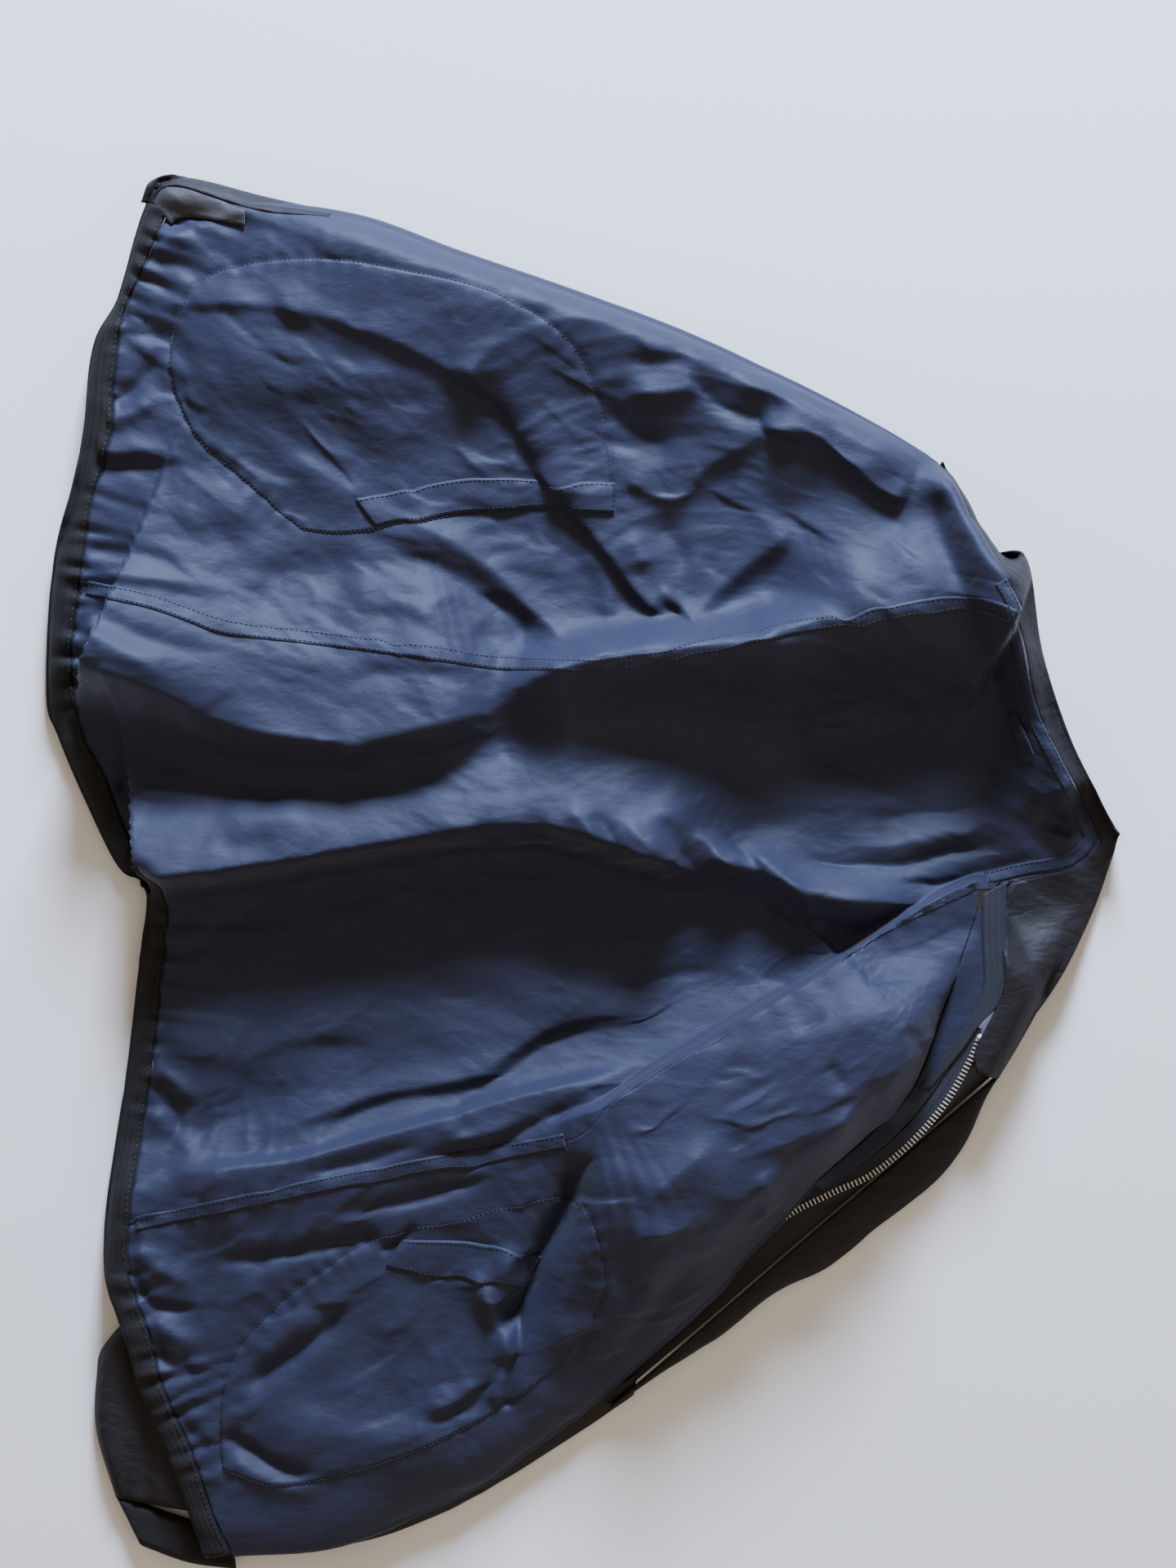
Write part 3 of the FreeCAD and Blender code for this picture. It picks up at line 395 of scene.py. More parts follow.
@dataclass
class Lay:
    """The lie of the lining: how high it stands over every place of the layout.

    The levels say how high the cloth lies over the bare surface, over the folded sleeves and at its
    edges, the lips how far it stands above the left zip, and the widths how far in from the outline it
    rounds over, all in millimetres. A fold is worked out as far as `fold_reach` times its width.
    """

    back_level: float = 13.0
    front_level: float = 27.0
    free_edge: float = 7.0
    rolled_edge: float = 15.0
    sleeve_edge: float = 21.0
    least: float = 6.0
    front_width: float = 24.0
    lip: float = 2.0
    hem_lip: float = 7.0
    round_in: float = 17.0
    front_round_in: float = 42.0
    fold_reach: float = 3.4
    gather: float = 1.7
    pucker: float = 0.55
    crumple: float = 1.0
    small_depth: float = 0.62
    broad_folds: tuple[Fold, ...] = BIG_FOLDS
    small_folds: tuple[Fold, ...] = RIGHT_FOLDS + BACK_FOLDS + LEFT_FOLDS + strokes(520, 11)

    def edge(self, x: np.ndarray, y: np.ndarray) -> np.ndarray:
        """Return the cloth's height at its outline."""
        level = self.free_edge + (self.rolled_edge - self.free_edge) * ease((y - 190) / 40)
        cuff = np.exp(-((x + 300) / 40) ** 2 - ((y - 277) / 60) ** 2)
        corner = ease((-90 - x) / 60) * ease((-215 - y) / 40)
        collar = 1.7 * ease((x - 215) / 30) * ease((y - 5) / 30) * ease((270 - y) / 30)
        raised = np.maximum(np.maximum(cuff, corner), collar)
        return np.maximum(level, self.free_edge + (self.sleeve_edge - self.free_edge) * raised)

    def rounding(self, x: np.ndarray, y: np.ndarray) -> np.ndarray:
        """Return 0 at the outline, rising to 1 where the cloth is clear of its rounded edge."""
        gap = np.abs(OUTLINE.near(x, y)[0])
        front = ease((-235 - y) / 60) * ease((x + 300) / 120) * ease((150 - x) / 80)
        t = np.clip(gap / (self.round_in + self.front_round_in * front), 0, 1)
        return np.sqrt(1 - (1 - t) ** 2)

    def height(self, x: np.ndarray, y: np.ndarray) -> np.ndarray:
        """Return the height of the lining's face, in millimetres.

        Args:
            x: The places' X, in millimetres.
            y: Their Y.

        Returns:
            The heights, in the same shape.
        """
        return self.shape(x, y)[2]

    def shape(self, x: np.ndarray, y: np.ndarray) -> tuple[np.ndarray, np.ndarray, np.ndarray]:
        """Return where the cloth over (x, y) really is: leaning folds carry it sideways."""
        step_right = ease((y - 96) / 50)
        step_left = ease((-y - 95 + 0.25 * (x + 60)) / 45)
        level = self.back_level + (self.front_level - self.back_level) * np.maximum(step_right, step_left)
        dx, dy = np.zeros(x.shape), np.zeros(x.shape)
        for item in self.broad_folds + self.small_folds:
            rise = item.rise * (1.0 if item in self.broad_folds else self.small_depth)
            reach = self.fold_reach * max(item.left, item.right)
            xs, ys = zip(*item.line.points)
            close = ((x > min(xs) - reach) & (x < max(xs) + reach) & (y > min(ys) - reach)
                     & (y < max(ys) + reach))
            if not close.any():
                continue
            gap, along, left = item.line.near(x[close], y[close])
            share = along / item.line.length()
            head, tail = item.fade
            fade = ease(share / max(head, 1e-3)) * ease((1 - share) / max(tail, 1e-3))
            width = np.where(gap > 0, item.left, item.right)
            section = fade * np.exp(-(np.abs(gap) / width) ** item.power)
            level[close] += rise * section
            if item.lean:
                tip = item.lean * fade * np.exp(-(gap / min(item.left, item.right) / 1.3) ** 2)
                dx[close] -= tip * left[..., 0]
                dy[close] -= tip * left[..., 1]
        level = level + self.gathers(x, y) + self.puckers(x, y) + self.crumples(x, y)
        gap, along, _ = LEFT_EDGE.near(x, y)
        front = np.interp(x, [p[0] for p in CHAIN.points], CHAIN_LEVEL)
        front += self.lip + self.hem_lip * ease((105 - x) / 35)
        t = np.clip(gap / self.front_width, 0, 1)
        ends = ease((1 - along / LEFT_EDGE.length()) * 9)
        level += (front - level) * (1 - np.sqrt(1 - (1 - t) ** 2)) * ends
        low = self.edge(x, y)
        rounding = self.rounding(x, y)
        return x + dx * rounding, y + dy * rounding, low + (np.maximum(level, self.least) - low) * rounding

    def gathers(self, x: np.ndarray, y: np.ndarray) -> np.ndarray:
        """Return the small folds where the lining is gathered into the hem band."""
        gap, along, _ = HEM.near(x, y)
        gap = np.abs(gap)
        reach = 15 + 9 * np.sin(along / 23.0) + 7 * np.sin(along / 9.1 + 2)
        wander = 2.2 * np.sin(along / 31.0) + 0.05 * gap * np.sin(along / 17.0)
        wave = (np.sin(along / 2.05 + wander) + 0.6 * np.sin(along / 3.3 + 1.3 + 1.7 * np.sin(along / 40.0))
                + 0.35 * np.sin(along / 1.21 + 0.6))
        strength = 0.55 + 0.45 * np.sin(along / 37.0 + 0.8)
        return self.gather * strength * wave * np.exp(-gap / np.maximum(reach, 4))

    def puckers(self, x: np.ndarray, y: np.ndarray) -> np.ndarray:
        """Return the small ripples along the rows of stitching, and the dip at the rows themselves."""
        total = np.zeros(x.shape)
        for line, wave in ((RIGHT_SEAM, 2.6), (LEFT_SEAM, 2.9), (POCKET_RIGHT, 1.9), (POCKET_LEFT, 1.8),
                           (POCKET_LEFT_FRONT, 1.7)):
            gap, along, _ = line.near(x, y)
            ripple = np.sin(along / wave + 1.5 * np.sin(along / 21.0)) * (0.6 + 0.4 * np.sin(along / 33.0))
            total += self.pucker * ripple * np.exp(-np.abs(gap) / 7)
            if line not in (RIGHT_SEAM, LEFT_SEAM):
                total -= 0.9 * np.exp(-(gap / 2.2) ** 2)
        return total

    def crumples(self, x: np.ndarray, y: np.ndarray) -> np.ndarray:
        """Return the cloth's small crumples: short crisp creases, mostly running from hem to neck."""
        out = np.zeros(x.shape)
        flat = out.ravel()
        for k, (px, py) in enumerate(zip(x.ravel(), y.ravel())):
            turn = 0.35 * math.sin(px / 90.0 + py / 140.0)
            u = px + turn * py
            v = py - turn * px
            broad = noise.noise(Vector((u / 62.0, v / 26.0, 3.1)))
            crisp = abs(noise.noise(Vector((u / 34.0, v / 13.0, 7.7))))
            fine = abs(noise.noise(Vector((u / 15.0, v / 7.5, 1.9))))
            patch = 0.5 + noise.noise(Vector((u / 120.0, v / 90.0, 5.0)))
            warp = 9.0 * noise.noise(Vector((px / 47.0, py / 47.0, 12.3)))
            vein = noise.noise(Vector(((u + warp) / 42.0, (v + warp) / 15.0, 21.0)))
            small = noise.noise(Vector(((u - warp) / 24.0, (v + warp) / 9.0, 33.0)))
            ridge = max(0.0, 1 - abs(vein) * 5.5) ** 1.4 + 0.55 * max(0.0, 1 - abs(small) * 4.5) ** 1.4
            creased = (1.5 * crisp + 0.35 * fine) * max(patch, 0.15)
            flat[k] = 1.8 * broad - creased + 0.5 * ridge * max(patch, 0.1)
        return self.crumple * out


LAY = Lay()


def on_cloth(points: np.ndarray, above: float = 0.0) -> np.ndarray:
    """Return places on the lining, in metres.

    Args:
        points: Places on the ground plane, shape (..., 2), in millimetres.
        above: How far above the lining's face, in millimetres.

    Returns:
        An array of shape (..., 3).
    """
    x, y, z = LAY.shape(points[..., 0].copy(), points[..., 1].copy())
    return np.stack([x, y, z + above], axis=-1) * MM


# ---- meshes -------------------------------------------------------------
def new_object(name: str, verts: np.ndarray, faces: list, uvs: np.ndarray | None = None) -> bpy.types.Object:
    """Make a smooth-shaded mesh object with its normals outwards.

    Args:
        name: The piece's name.
        verts: Its points, in metres.
        faces: Its faces, as point numbers.
        uvs: One place on the cloth for each point, in metres.

    Returns:
        The new object, linked to the scene.
    """
    mesh = bpy.data.meshes.new(name)
    mesh.from_pydata([tuple(v) for v in verts], [], faces)
    if uvs is not None:
        layer = mesh.uv_layers.new(name="cloth")
        corner = np.empty(len(mesh.loops), dtype=np.int32)
        mesh.loops.foreach_get("vertex_index", corner)
        layer.data.foreach_set("uv", np.asarray(uvs)[corner].astype(np.float32).ravel())
    bm = bmesh.new()
    bm.from_mesh(mesh)
    bmesh.ops.recalc_face_normals(bm, faces=bm.faces)
    bm.to_mesh(mesh)
    bm.free()
    mesh.polygons.foreach_set("use_smooth", [True] * len(mesh.polygons))
    piece = bpy.data.objects.new(name, mesh)
    bpy.context.scene.collection.objects.link(piece)
    return piece


def grid_normals(grid: np.ndarray) -> np.ndarray:
    """Return the unit normals of a grid of points, on its upper side."""
    du = np.gradient(grid, axis=0)
    dv = np.gradient(grid, axis=1)
    normal = np.cross(du, dv)
    normal /= np.maximum(np.linalg.norm(normal, axis=2, keepdims=True), 1e-12)
    if normal[..., 2].mean() < 0:
        normal = -normal
    return normal


def outwards(step: np.ndarray) -> np.ndarray:
    """Return level unit vectors along steps across an edge, shape (n, 3)."""
    level = step * (1.0, 1.0, 0.0)
    return level / np.maximum(np.linalg.norm(level, axis=1, keepdims=True), 1e-9)


def cloth_uvs(grid: np.ndarray) -> np.ndarray:
    """Return each point's place on the flat cloth, in metres, from the lengths along the grid's lines."""
    across = np.linalg.norm(np.diff(grid, axis=1), axis=2)
    along = np.linalg.norm(np.diff(grid, axis=0), axis=2)
    u = np.concatenate([[0], np.cumsum(along.mean(axis=1))])
    v = np.concatenate([[0], np.cumsum(across.mean(axis=0))])
    return np.stack(np.meshgrid(u, v, indexing="ij"), axis=-1)


def closed(name: str, upper: np.ndarray, lower: np.ndarray) -> bpy.types.Object:
    """Make a closed shape between two grids of points.

    Args:
        name: The piece's name.
        upper: Points of its upper side, shape (m, n, 3), in metres.
        lower: Points of its lower side, in the same shape.

    Returns:
        The new object.
    """
    m, n, _ = upper.shape
    count = m * n
    i, j = np.meshgrid(np.arange(m - 1), np.arange(n - 1), indexing="ij")
    a = (i * n + j).ravel()
    quads = np.stack([a, a + 1, a + n + 1, a + n], axis=1)
    faces = quads.tolist() + (quads[:, ::-1] + count).tolist()
    rim = ([k for k in range(n)] + [r * n + n - 1 for r in range(1, m)]
           + [(m - 1) * n + k for k in range(n - 2, -1, -1)] + [r * n for r in range(m - 2, 0, -1)])
    for p, q in zip(rim, rim[1:] + rim[:1]):
        faces.append([p, q, q + count, p + count])
    uv = cloth_uvs(upper).reshape(-1, 2)
    return new_object(name, np.concatenate([upper.reshape(-1, 3), lower.reshape(-1, 3)]), faces,
                      np.concatenate([uv, uv]))


def sheet_from(name: str, grid: np.ndarray, thick: float) -> bpy.types.Object:
    """Make a closed sheet of one thickness, in metres, below a grid of points."""
    return closed(name, grid, grid - grid_normals(grid) * thick)


def patch(top: Run, bottom: Run, start: Run, end: Run, pitch: float) -> np.ndarray:
    """Fill the space between four runs with a grid on the ground plane.

    Args:
        top: The run from the hem to the neck on the patch's upper side.
        bottom: The same on its lower side.
        start: The run from top to bottom at the hem.
        end: The run from top to bottom at the neck.
        pitch: Wanted spacing, in millimetres.

    Returns:
        Places of shape (m, n, 2), in millimetres.
    """
    m = int(max(top.length(), bottom.length()) / pitch) + 1
    n = int(max(start.length(), end.length()) / pitch) + 1
    a, b = top.even(m)[:, None], bottom.even(m)[:, None]
    c, d = start.even(n)[None], end.even(n)[None]
    u = np.linspace(0, 1, m)[:, None, None]
    v = np.linspace(0, 1, n)[None, :, None]
    corners = ((1 - u) * (1 - v) * c[:, :1] + (1 - u) * v * c[:, -1:] + u * (1 - v) * d[:, :1]
               + u * v * d[:, -1:])
    return (1 - v) * a + v * b + (1 - u) * c + u * d - corners


def leftwards(line: np.ndarray) -> np.ndarray:
    """Return the unit vectors to the left of a line's points, shape (n, 2)."""
    ahead = np.gradient(line, axis=0)
    ahead /= np.linalg.norm(ahead, axis=1, keepdims=True)
    return np.stack([-ahead[:, 1], ahead[:, 0]], axis=1)


def band_grid(line: Run, left: float, right: float, pitch: float, rows: int) -> np.ndarray:
    """Return a grid of places on a band along a run, `left` and `right` being its edges, in millimetres."""
    middle = line.even(int(line.length() / pitch) + 1)
    offsets = np.linspace(left, right, rows)
    return middle[:, None] + leftwards(middle)[:, None] * offsets[None, :, None]


def tube_along(path: np.ndarray, radius: float, sides: int = 6) -> tuple[np.ndarray, list]:
    """Return the points and faces of a round-ended thread along a path, in metres."""
    ahead = np.gradient(path, axis=0)
    ahead /= np.maximum(np.linalg.norm(ahead, axis=1, keepdims=True), 1e-12)
    up = np.array([0.0, 0.0, 1.0])
    side = np.cross(ahead, up)
    side /= np.maximum(np.linalg.norm(side, axis=1, keepdims=True), 1e-9)
    top = np.cross(side, ahead)
    turns = np.linspace(0, 2 * math.pi, sides, endpoint=False)
    swell = np.sin(np.linspace(0.12, math.pi - 0.12, len(path))) ** 0.4 * radius
    ring = (np.cos(turns)[None, :, None] * side[:, None] + np.sin(turns)[None, :, None] * top[:, None])
    verts = (path[:, None] + ring * swell[:, None, None]).reshape(-1, 3)
    faces = []
    for k in range(len(path) - 1):
        for s in range(sides):
            a, b = k * sides + s, k * sides + (s + 1) % sides
            faces.append([a, b, b + sides, a + sides])
    faces.append(list(range(sides))[::-1])
    faces.append(list(range((len(path) - 1) * sides, len(path) * sides)))
    return verts, faces


def merged(name: str, parts: list[tuple[np.ndarray, list]]) -> bpy.types.Object:
    """Join many small closed shapes into one object."""
    verts, faces, base = [], [], 0
    for v, f in parts:
        verts.append(v)
        faces.extend([[k + base for k in face] for face in f])
        base += len(v)
    return new_object(name, np.concatenate(verts), faces)


# ---- finishes -----------------------------------------------------------
class Graph:
    """A material's node graph, with short ways to add nodes."""

    def __init__(self, name: str) -> None:
        """Make the material and keep its main shader.

        Args:
            name: The material's name.
        """
        self.material = bpy.data.materials.new(name)
        self.material.use_nodes = True
        self.tree = self.material.node_tree
        self.main = self.tree.nodes["Principled BSDF"]

    def add(self, kind: str, **settings: object) -> bpy.types.Node:
        """Add a node and set its properties."""
        node = self.tree.nodes.new(kind)
        for key, value in settings.items():
            setattr(node, key, value)
        return node

    def feed(self, socket: bpy.types.NodeSocket, value: object) -> None:
        """Give a socket a value, or join another node's output to it."""
        if isinstance(value, bpy.types.NodeSocket):
            self.tree.links.new(value, socket)
        else:
            socket.default_value = value

    def math(self, operation: str, *values: object) -> bpy.types.NodeSocket:
        """Return the result of an arithmetic node."""
        node = self.add("ShaderNodeMath", operation=operation)
        for socket, value in zip(node.inputs, values):
            self.feed(socket, value)
        return node.outputs[0]

    def mix(self, share: object, a: object, b: object) -> bpy.types.NodeSocket:
        """Return a mixture of two colours."""
        node = self.add("ShaderNodeMix", data_type="RGBA")
        self.feed(node.inputs["Factor"], share)
        self.feed(node.inputs[6], a)
        self.feed(node.inputs[7], b)
        return node.outputs[2]

    def noise(self, vector: object, scale: float, detail: float = 3.0) -> bpy.types.NodeSocket:
        """Return the value of a noise texture."""
        node = self.add("ShaderNodeTexNoise")
        self.feed(node.inputs["Vector"], vector)
        node.inputs["Scale"].default_value = scale
        node.inputs["Detail"].default_value = detail
        return node.outputs["Fac"]

    def places(self) -> bpy.types.NodeSocket:
        """Return object coordinates."""
        return self.add("ShaderNodeTexCoord").outputs["Object"]

    def cloth(self) -> bpy.types.NodeSocket:
        """Return the place on the flat cloth, in metres."""
        return self.add("ShaderNodeUVMap", uv_map="cloth").outputs["UV"]

    def bump(self, height: object, distance: float, strength: float, under: object = None) -> object:
        """Return a bumped normal, over another one if it is given."""
        node = self.add("ShaderNodeBump")
        node.inputs["Distance"].default_value = distance
        node.inputs["Strength"].default_value = strength
        self.feed(node.inputs["Height"], height)
        if under is not None:
            self.feed(node.inputs["Normal"], under)
        return node.outputs["Normal"]


def weave_group() -> bpy.types.NodeTree:
    """Build the shared plain weave: a height for ribs one yarn apart, from a place on the cloth."""
    group = bpy.data.node_groups.new("plain weave", "ShaderNodeTree")
    group.interface.new_socket("Place", in_out="INPUT", socket_type="NodeSocketVector")
    group.interface.new_socket("Yarns per metre", in_out="INPUT", socket_type="NodeSocketFloat")
    group.interface.new_socket("Height", in_out="OUTPUT", socket_type="NodeSocketFloat")
    nodes, links = group.nodes, group.links
    start, end = nodes.new("NodeGroupInput"), nodes.new("NodeGroupOutput")
    split = nodes.new("ShaderNodeSeparateXYZ")
    links.new(start.outputs["Place"], split.inputs[0])
    waves = []
    for axis in (0, 1):
        scaled = nodes.new("ShaderNodeMath")
        scaled.operation = "MULTIPLY"
        links.new(split.outputs[axis], scaled.inputs[0])
        links.new(start.outputs["Yarns per metre"], scaled.inputs[1])
        wave = nodes.new("ShaderNodeMath")
        wave.operation = "SINE"
        links.new(scaled.outputs[0], wave.inputs[0])
        waves.append(wave)
    both = nodes.new("ShaderNodeMath")
    both.operation = "MULTIPLY"
    for socket, wave in zip(both.inputs, waves):
        links.new(wave.outputs[0], socket)
    links.new(both.outputs[0], end.inputs["Height"])
    return group


@dataclass(frozen=True)
class Cloth:
    """A plain-woven cloth with soft crumples.

    Attributes:
        name: The material's name.
        dark: Its darker colour in a random mottle, linear.
        light: Its lighter colour in the same mottle, linear.
        rough: Its roughness.
        crumple: The depth of its small crumples, in metres.
        sheen: The weight of its soft sheen.
    """

    name: str
    dark: tuple[float, float, float]
    light: tuple[float, float, float]
    rough: float
    crumple: float
    sheen: float
    yarns: float = 2400.0
    shine: float = 0.20

    def make(self, weave: bpy.types.NodeTree) -> bpy.types.Material:
        """Build the material.

        Args:
            weave: The shared weave group.

        Returns:
            The material.
        """
        graph = Graph(self.name)
        at = graph.places()
        ribs = graph.add("ShaderNodeGroup", node_tree=weave)
        graph.feed(ribs.inputs["Place"], graph.cloth())
        ribs.inputs["Yarns per metre"].default_value = self.yarns * math.tau
        broad = graph.noise(at, 9.0)
        tone = graph.math("MULTIPLY_ADD", broad, 0.7, graph.math("MULTIPLY", graph.noise(at, 900.0, 1.0), 0.3))
        colour = graph.mix(tone, (*self.dark, 1), (*self.light, 1))
        graph.feed(graph.main.inputs["Base Color"], colour)
        stretched = graph.add("ShaderNodeMapping")
        graph.feed(stretched.inputs["Vector"], at)
        stretched.inputs["Scale"].default_value = (0.55, 1.0, 1.0)
        crinkle = graph.math("SUBTRACT", graph.noise(stretched.outputs[0], 70.0, 4.0), 0.5)
        crinkle = graph.math("ABSOLUTE", crinkle)
        bent = graph.bump(crinkle, self.crumple, 1.0)
        bent = graph.bump(ribs.outputs["Height"], 0.00003, 0.35, bent)
        graph.feed(graph.main.inputs["Normal"], bent)
        graph.feed(graph.main.inputs["Roughness"],
                   graph.math("MULTIPLY_ADD", graph.noise(at, 40.0), 0.16, self.rough - 0.08))
        graph.main.inputs["Sheen Weight"].default_value = self.sheen
        graph.main.inputs["Sheen Roughness"].default_value = 0.4
        graph.main.inputs["Specular IOR Level"].default_value = self.shine
        return graph.material


@dataclass(frozen=True)
class Herringbone:
    """A twill tape whose slanting ribs turn back on themselves across its width."""

    name: str
    dark: tuple[float, float, float]
    light: tuple[float, float, float]
    turn: float = 0.0022
    pitch: float = 0.0013

    def make(self) -> bpy.types.Material:
        """Build the material."""
        graph = Graph(self.name)
        split = graph.add("ShaderNodeSeparateXYZ")
        graph.feed(split.inputs[0], graph.cloth())
        slant = graph.math("ADD", split.outputs[0], graph.math("PINGPONG", split.outputs[1], self.turn))
        wave = graph.math("SINE", graph.math("MULTIPLY", slant, math.tau / self.pitch))
        share = graph.math("MULTIPLY_ADD", wave, 0.5, 0.5)
        wear = graph.math("MULTIPLY_ADD", graph.noise(graph.places(), 60.0), 0.8, 0.5)
        worn = graph.math("MULTIPLY", share, wear)
        graph.feed(graph.main.inputs["Base Color"], graph.mix(worn, (*self.dark, 1), (*self.light, 1)))
        graph.feed(graph.main.inputs["Normal"], graph.bump(share, 0.00025, 0.8))
        graph.main.inputs["Roughness"].default_value = 0.8
        graph.main.inputs["Specular IOR Level"].default_value = 0.2
        return graph.material


@dataclass(frozen=True)
class Plain:
    """A finish of one colour with a faint mottle, such as metal, thread or wadding."""

    name: str
    colour: tuple[float, float, float]
    rough: float
    metal: float = 0.0

    def make(self) -> bpy.types.Material:
        """Build the material."""
        graph = Graph(self.name)
        spots = graph.noise(graph.places(), 420.0, 2.0)
        darker = tuple(0.55 * c for c in self.colour)
        graph.feed(graph.main.inputs["Base Color"], graph.mix(spots, (*darker, 1), (*self.colour, 1)))
        graph.feed(graph.main.inputs["Roughness"], graph.math("MULTIPLY_ADD", spots, 0.2, self.rough - 0.1))
        graph.main.inputs["Metallic"].default_value = self.metal
        return graph.material


@dataclass
class Wardrobe:
    """Every finish in the jacket, made once."""

    taffeta: bpy.types.Material = None
    shell: bpy.types.Material = None
    corner: bpy.types.Material = None
    band: bpy.types.Material = None
    tape: bpy.types.Material = None
    metal: bpy.types.Material = None
    thread: bpy.types.Material = None
    black_thread: bpy.types.Material = None
    wadding: bpy.types.Material = None
    elastic: bpy.types.Material = None

    def fill(self) -> "Wardrobe":
        """Build all the finishes and return self."""
        weave = weave_group()
        self.taffeta = Cloth("navy taffeta", (0.0080, 0.0102, 0.0255), (0.0135, 0.0165, 0.0380), 0.60, 0.0012,
                             0.10).make(weave)
        self.shell = Cloth("black shell", (0.0060, 0.0057, 0.0072), (0.0150, 0.0140, 0.0170), 0.58,
                           0.0028, 0.0, shine=0.14).make(weave)
        self.corner = Cloth("grey facing", (0.020, 0.019, 0.022), (0.034, 0.032, 0.037), 0.6, 0.0012,
                            0.1).make(weave)
        self.band = Herringbone("herringbone band", (0.0015, 0.0015, 0.002), (0.013, 0.012, 0.014)).make()
        self.tape = Herringbone("zip tape", (0.004, 0.005, 0.008), (0.034, 0.037, 0.052),
                                0.0016, 0.0011).make()
        self.metal = Plain("antique nickel", (0.50, 0.47, 0.42), 0.42, 0.55).make()
        self.thread = Plain("navy thread", (0.004, 0.006, 0.015), 0.7).make()
        self.black_thread = Plain("black thread", (0.010, 0.010, 0.011), 0.6).make()
        self.wadding = Plain("white wadding", (0.62, 0.62, 0.60), 0.9).make()
        self.elastic = Plain("black elastic", (0.012, 0.012, 0.013), 0.8).make()
        return self


def coat(piece: bpy.types.Object, material: bpy.types.Material) -> bpy.types.Object:
    """Give a piece its finish, and return it."""
    piece.data.materials.clear()
    piece.data.materials.append(material)
    return piece


def dress(piece: bpy.types.Object, material: bpy.types.Material, slot: str, *nodes: str, body: str = ROOT,
          fill: float | None = None) -> bpy.types.Object:
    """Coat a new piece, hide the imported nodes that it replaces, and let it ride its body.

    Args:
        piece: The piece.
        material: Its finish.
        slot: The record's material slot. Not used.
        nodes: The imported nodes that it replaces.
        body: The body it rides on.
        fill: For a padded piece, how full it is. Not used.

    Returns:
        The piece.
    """
    coat(piece, material)
    if nodes:
        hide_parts(*nodes)
    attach(piece, body)
    return piece


# ---- stitching ----------------------------------------------------------
@dataclass(frozen=True)
class Stitching:
    """A row of lockstitch: its stitch, the gap to the next one and its thread, in millimetres."""

    length: float = 2.1
    gap: float = 0.9
    radius: float = 0.24

    def row(self, line: Run, above: float, offset: float = 0.0) -> list[tuple[np.ndarray, list]]:
        """Make the stitches of one row on the lining.

        Args:
            line: The row's run.
            above: How far above the lining's face the cloth is that it holds, in millimetres.
            offset: How far to the left of the run the row lies.

        Returns:
            Points and faces of every stitch.
        """
        pitch = self.length + self.gap
        count = int(line.length() / pitch)
        share = self.length / pitch
        steps = (np.arange(count)[:, None] + np.linspace(0, share, 4)[None, :]) / count
        dense = line.even(count * 8 + 1)
        dense = dense + offset * leftwards(dense)
        at = np.linspace(0, 1, len(dense))
        flat = np.stack([np.interp(steps.ravel(), at, dense[:, k]) for k in (0, 1)], axis=1)
        raised = on_cloth(flat, above + self.radius * 0.3).reshape(count, 4, 3)
        raised[:, [0, 3], 2] -= 0.35 * self.radius * MM
        return [tube_along(path, self.radius * MM, 4) for path in raised]


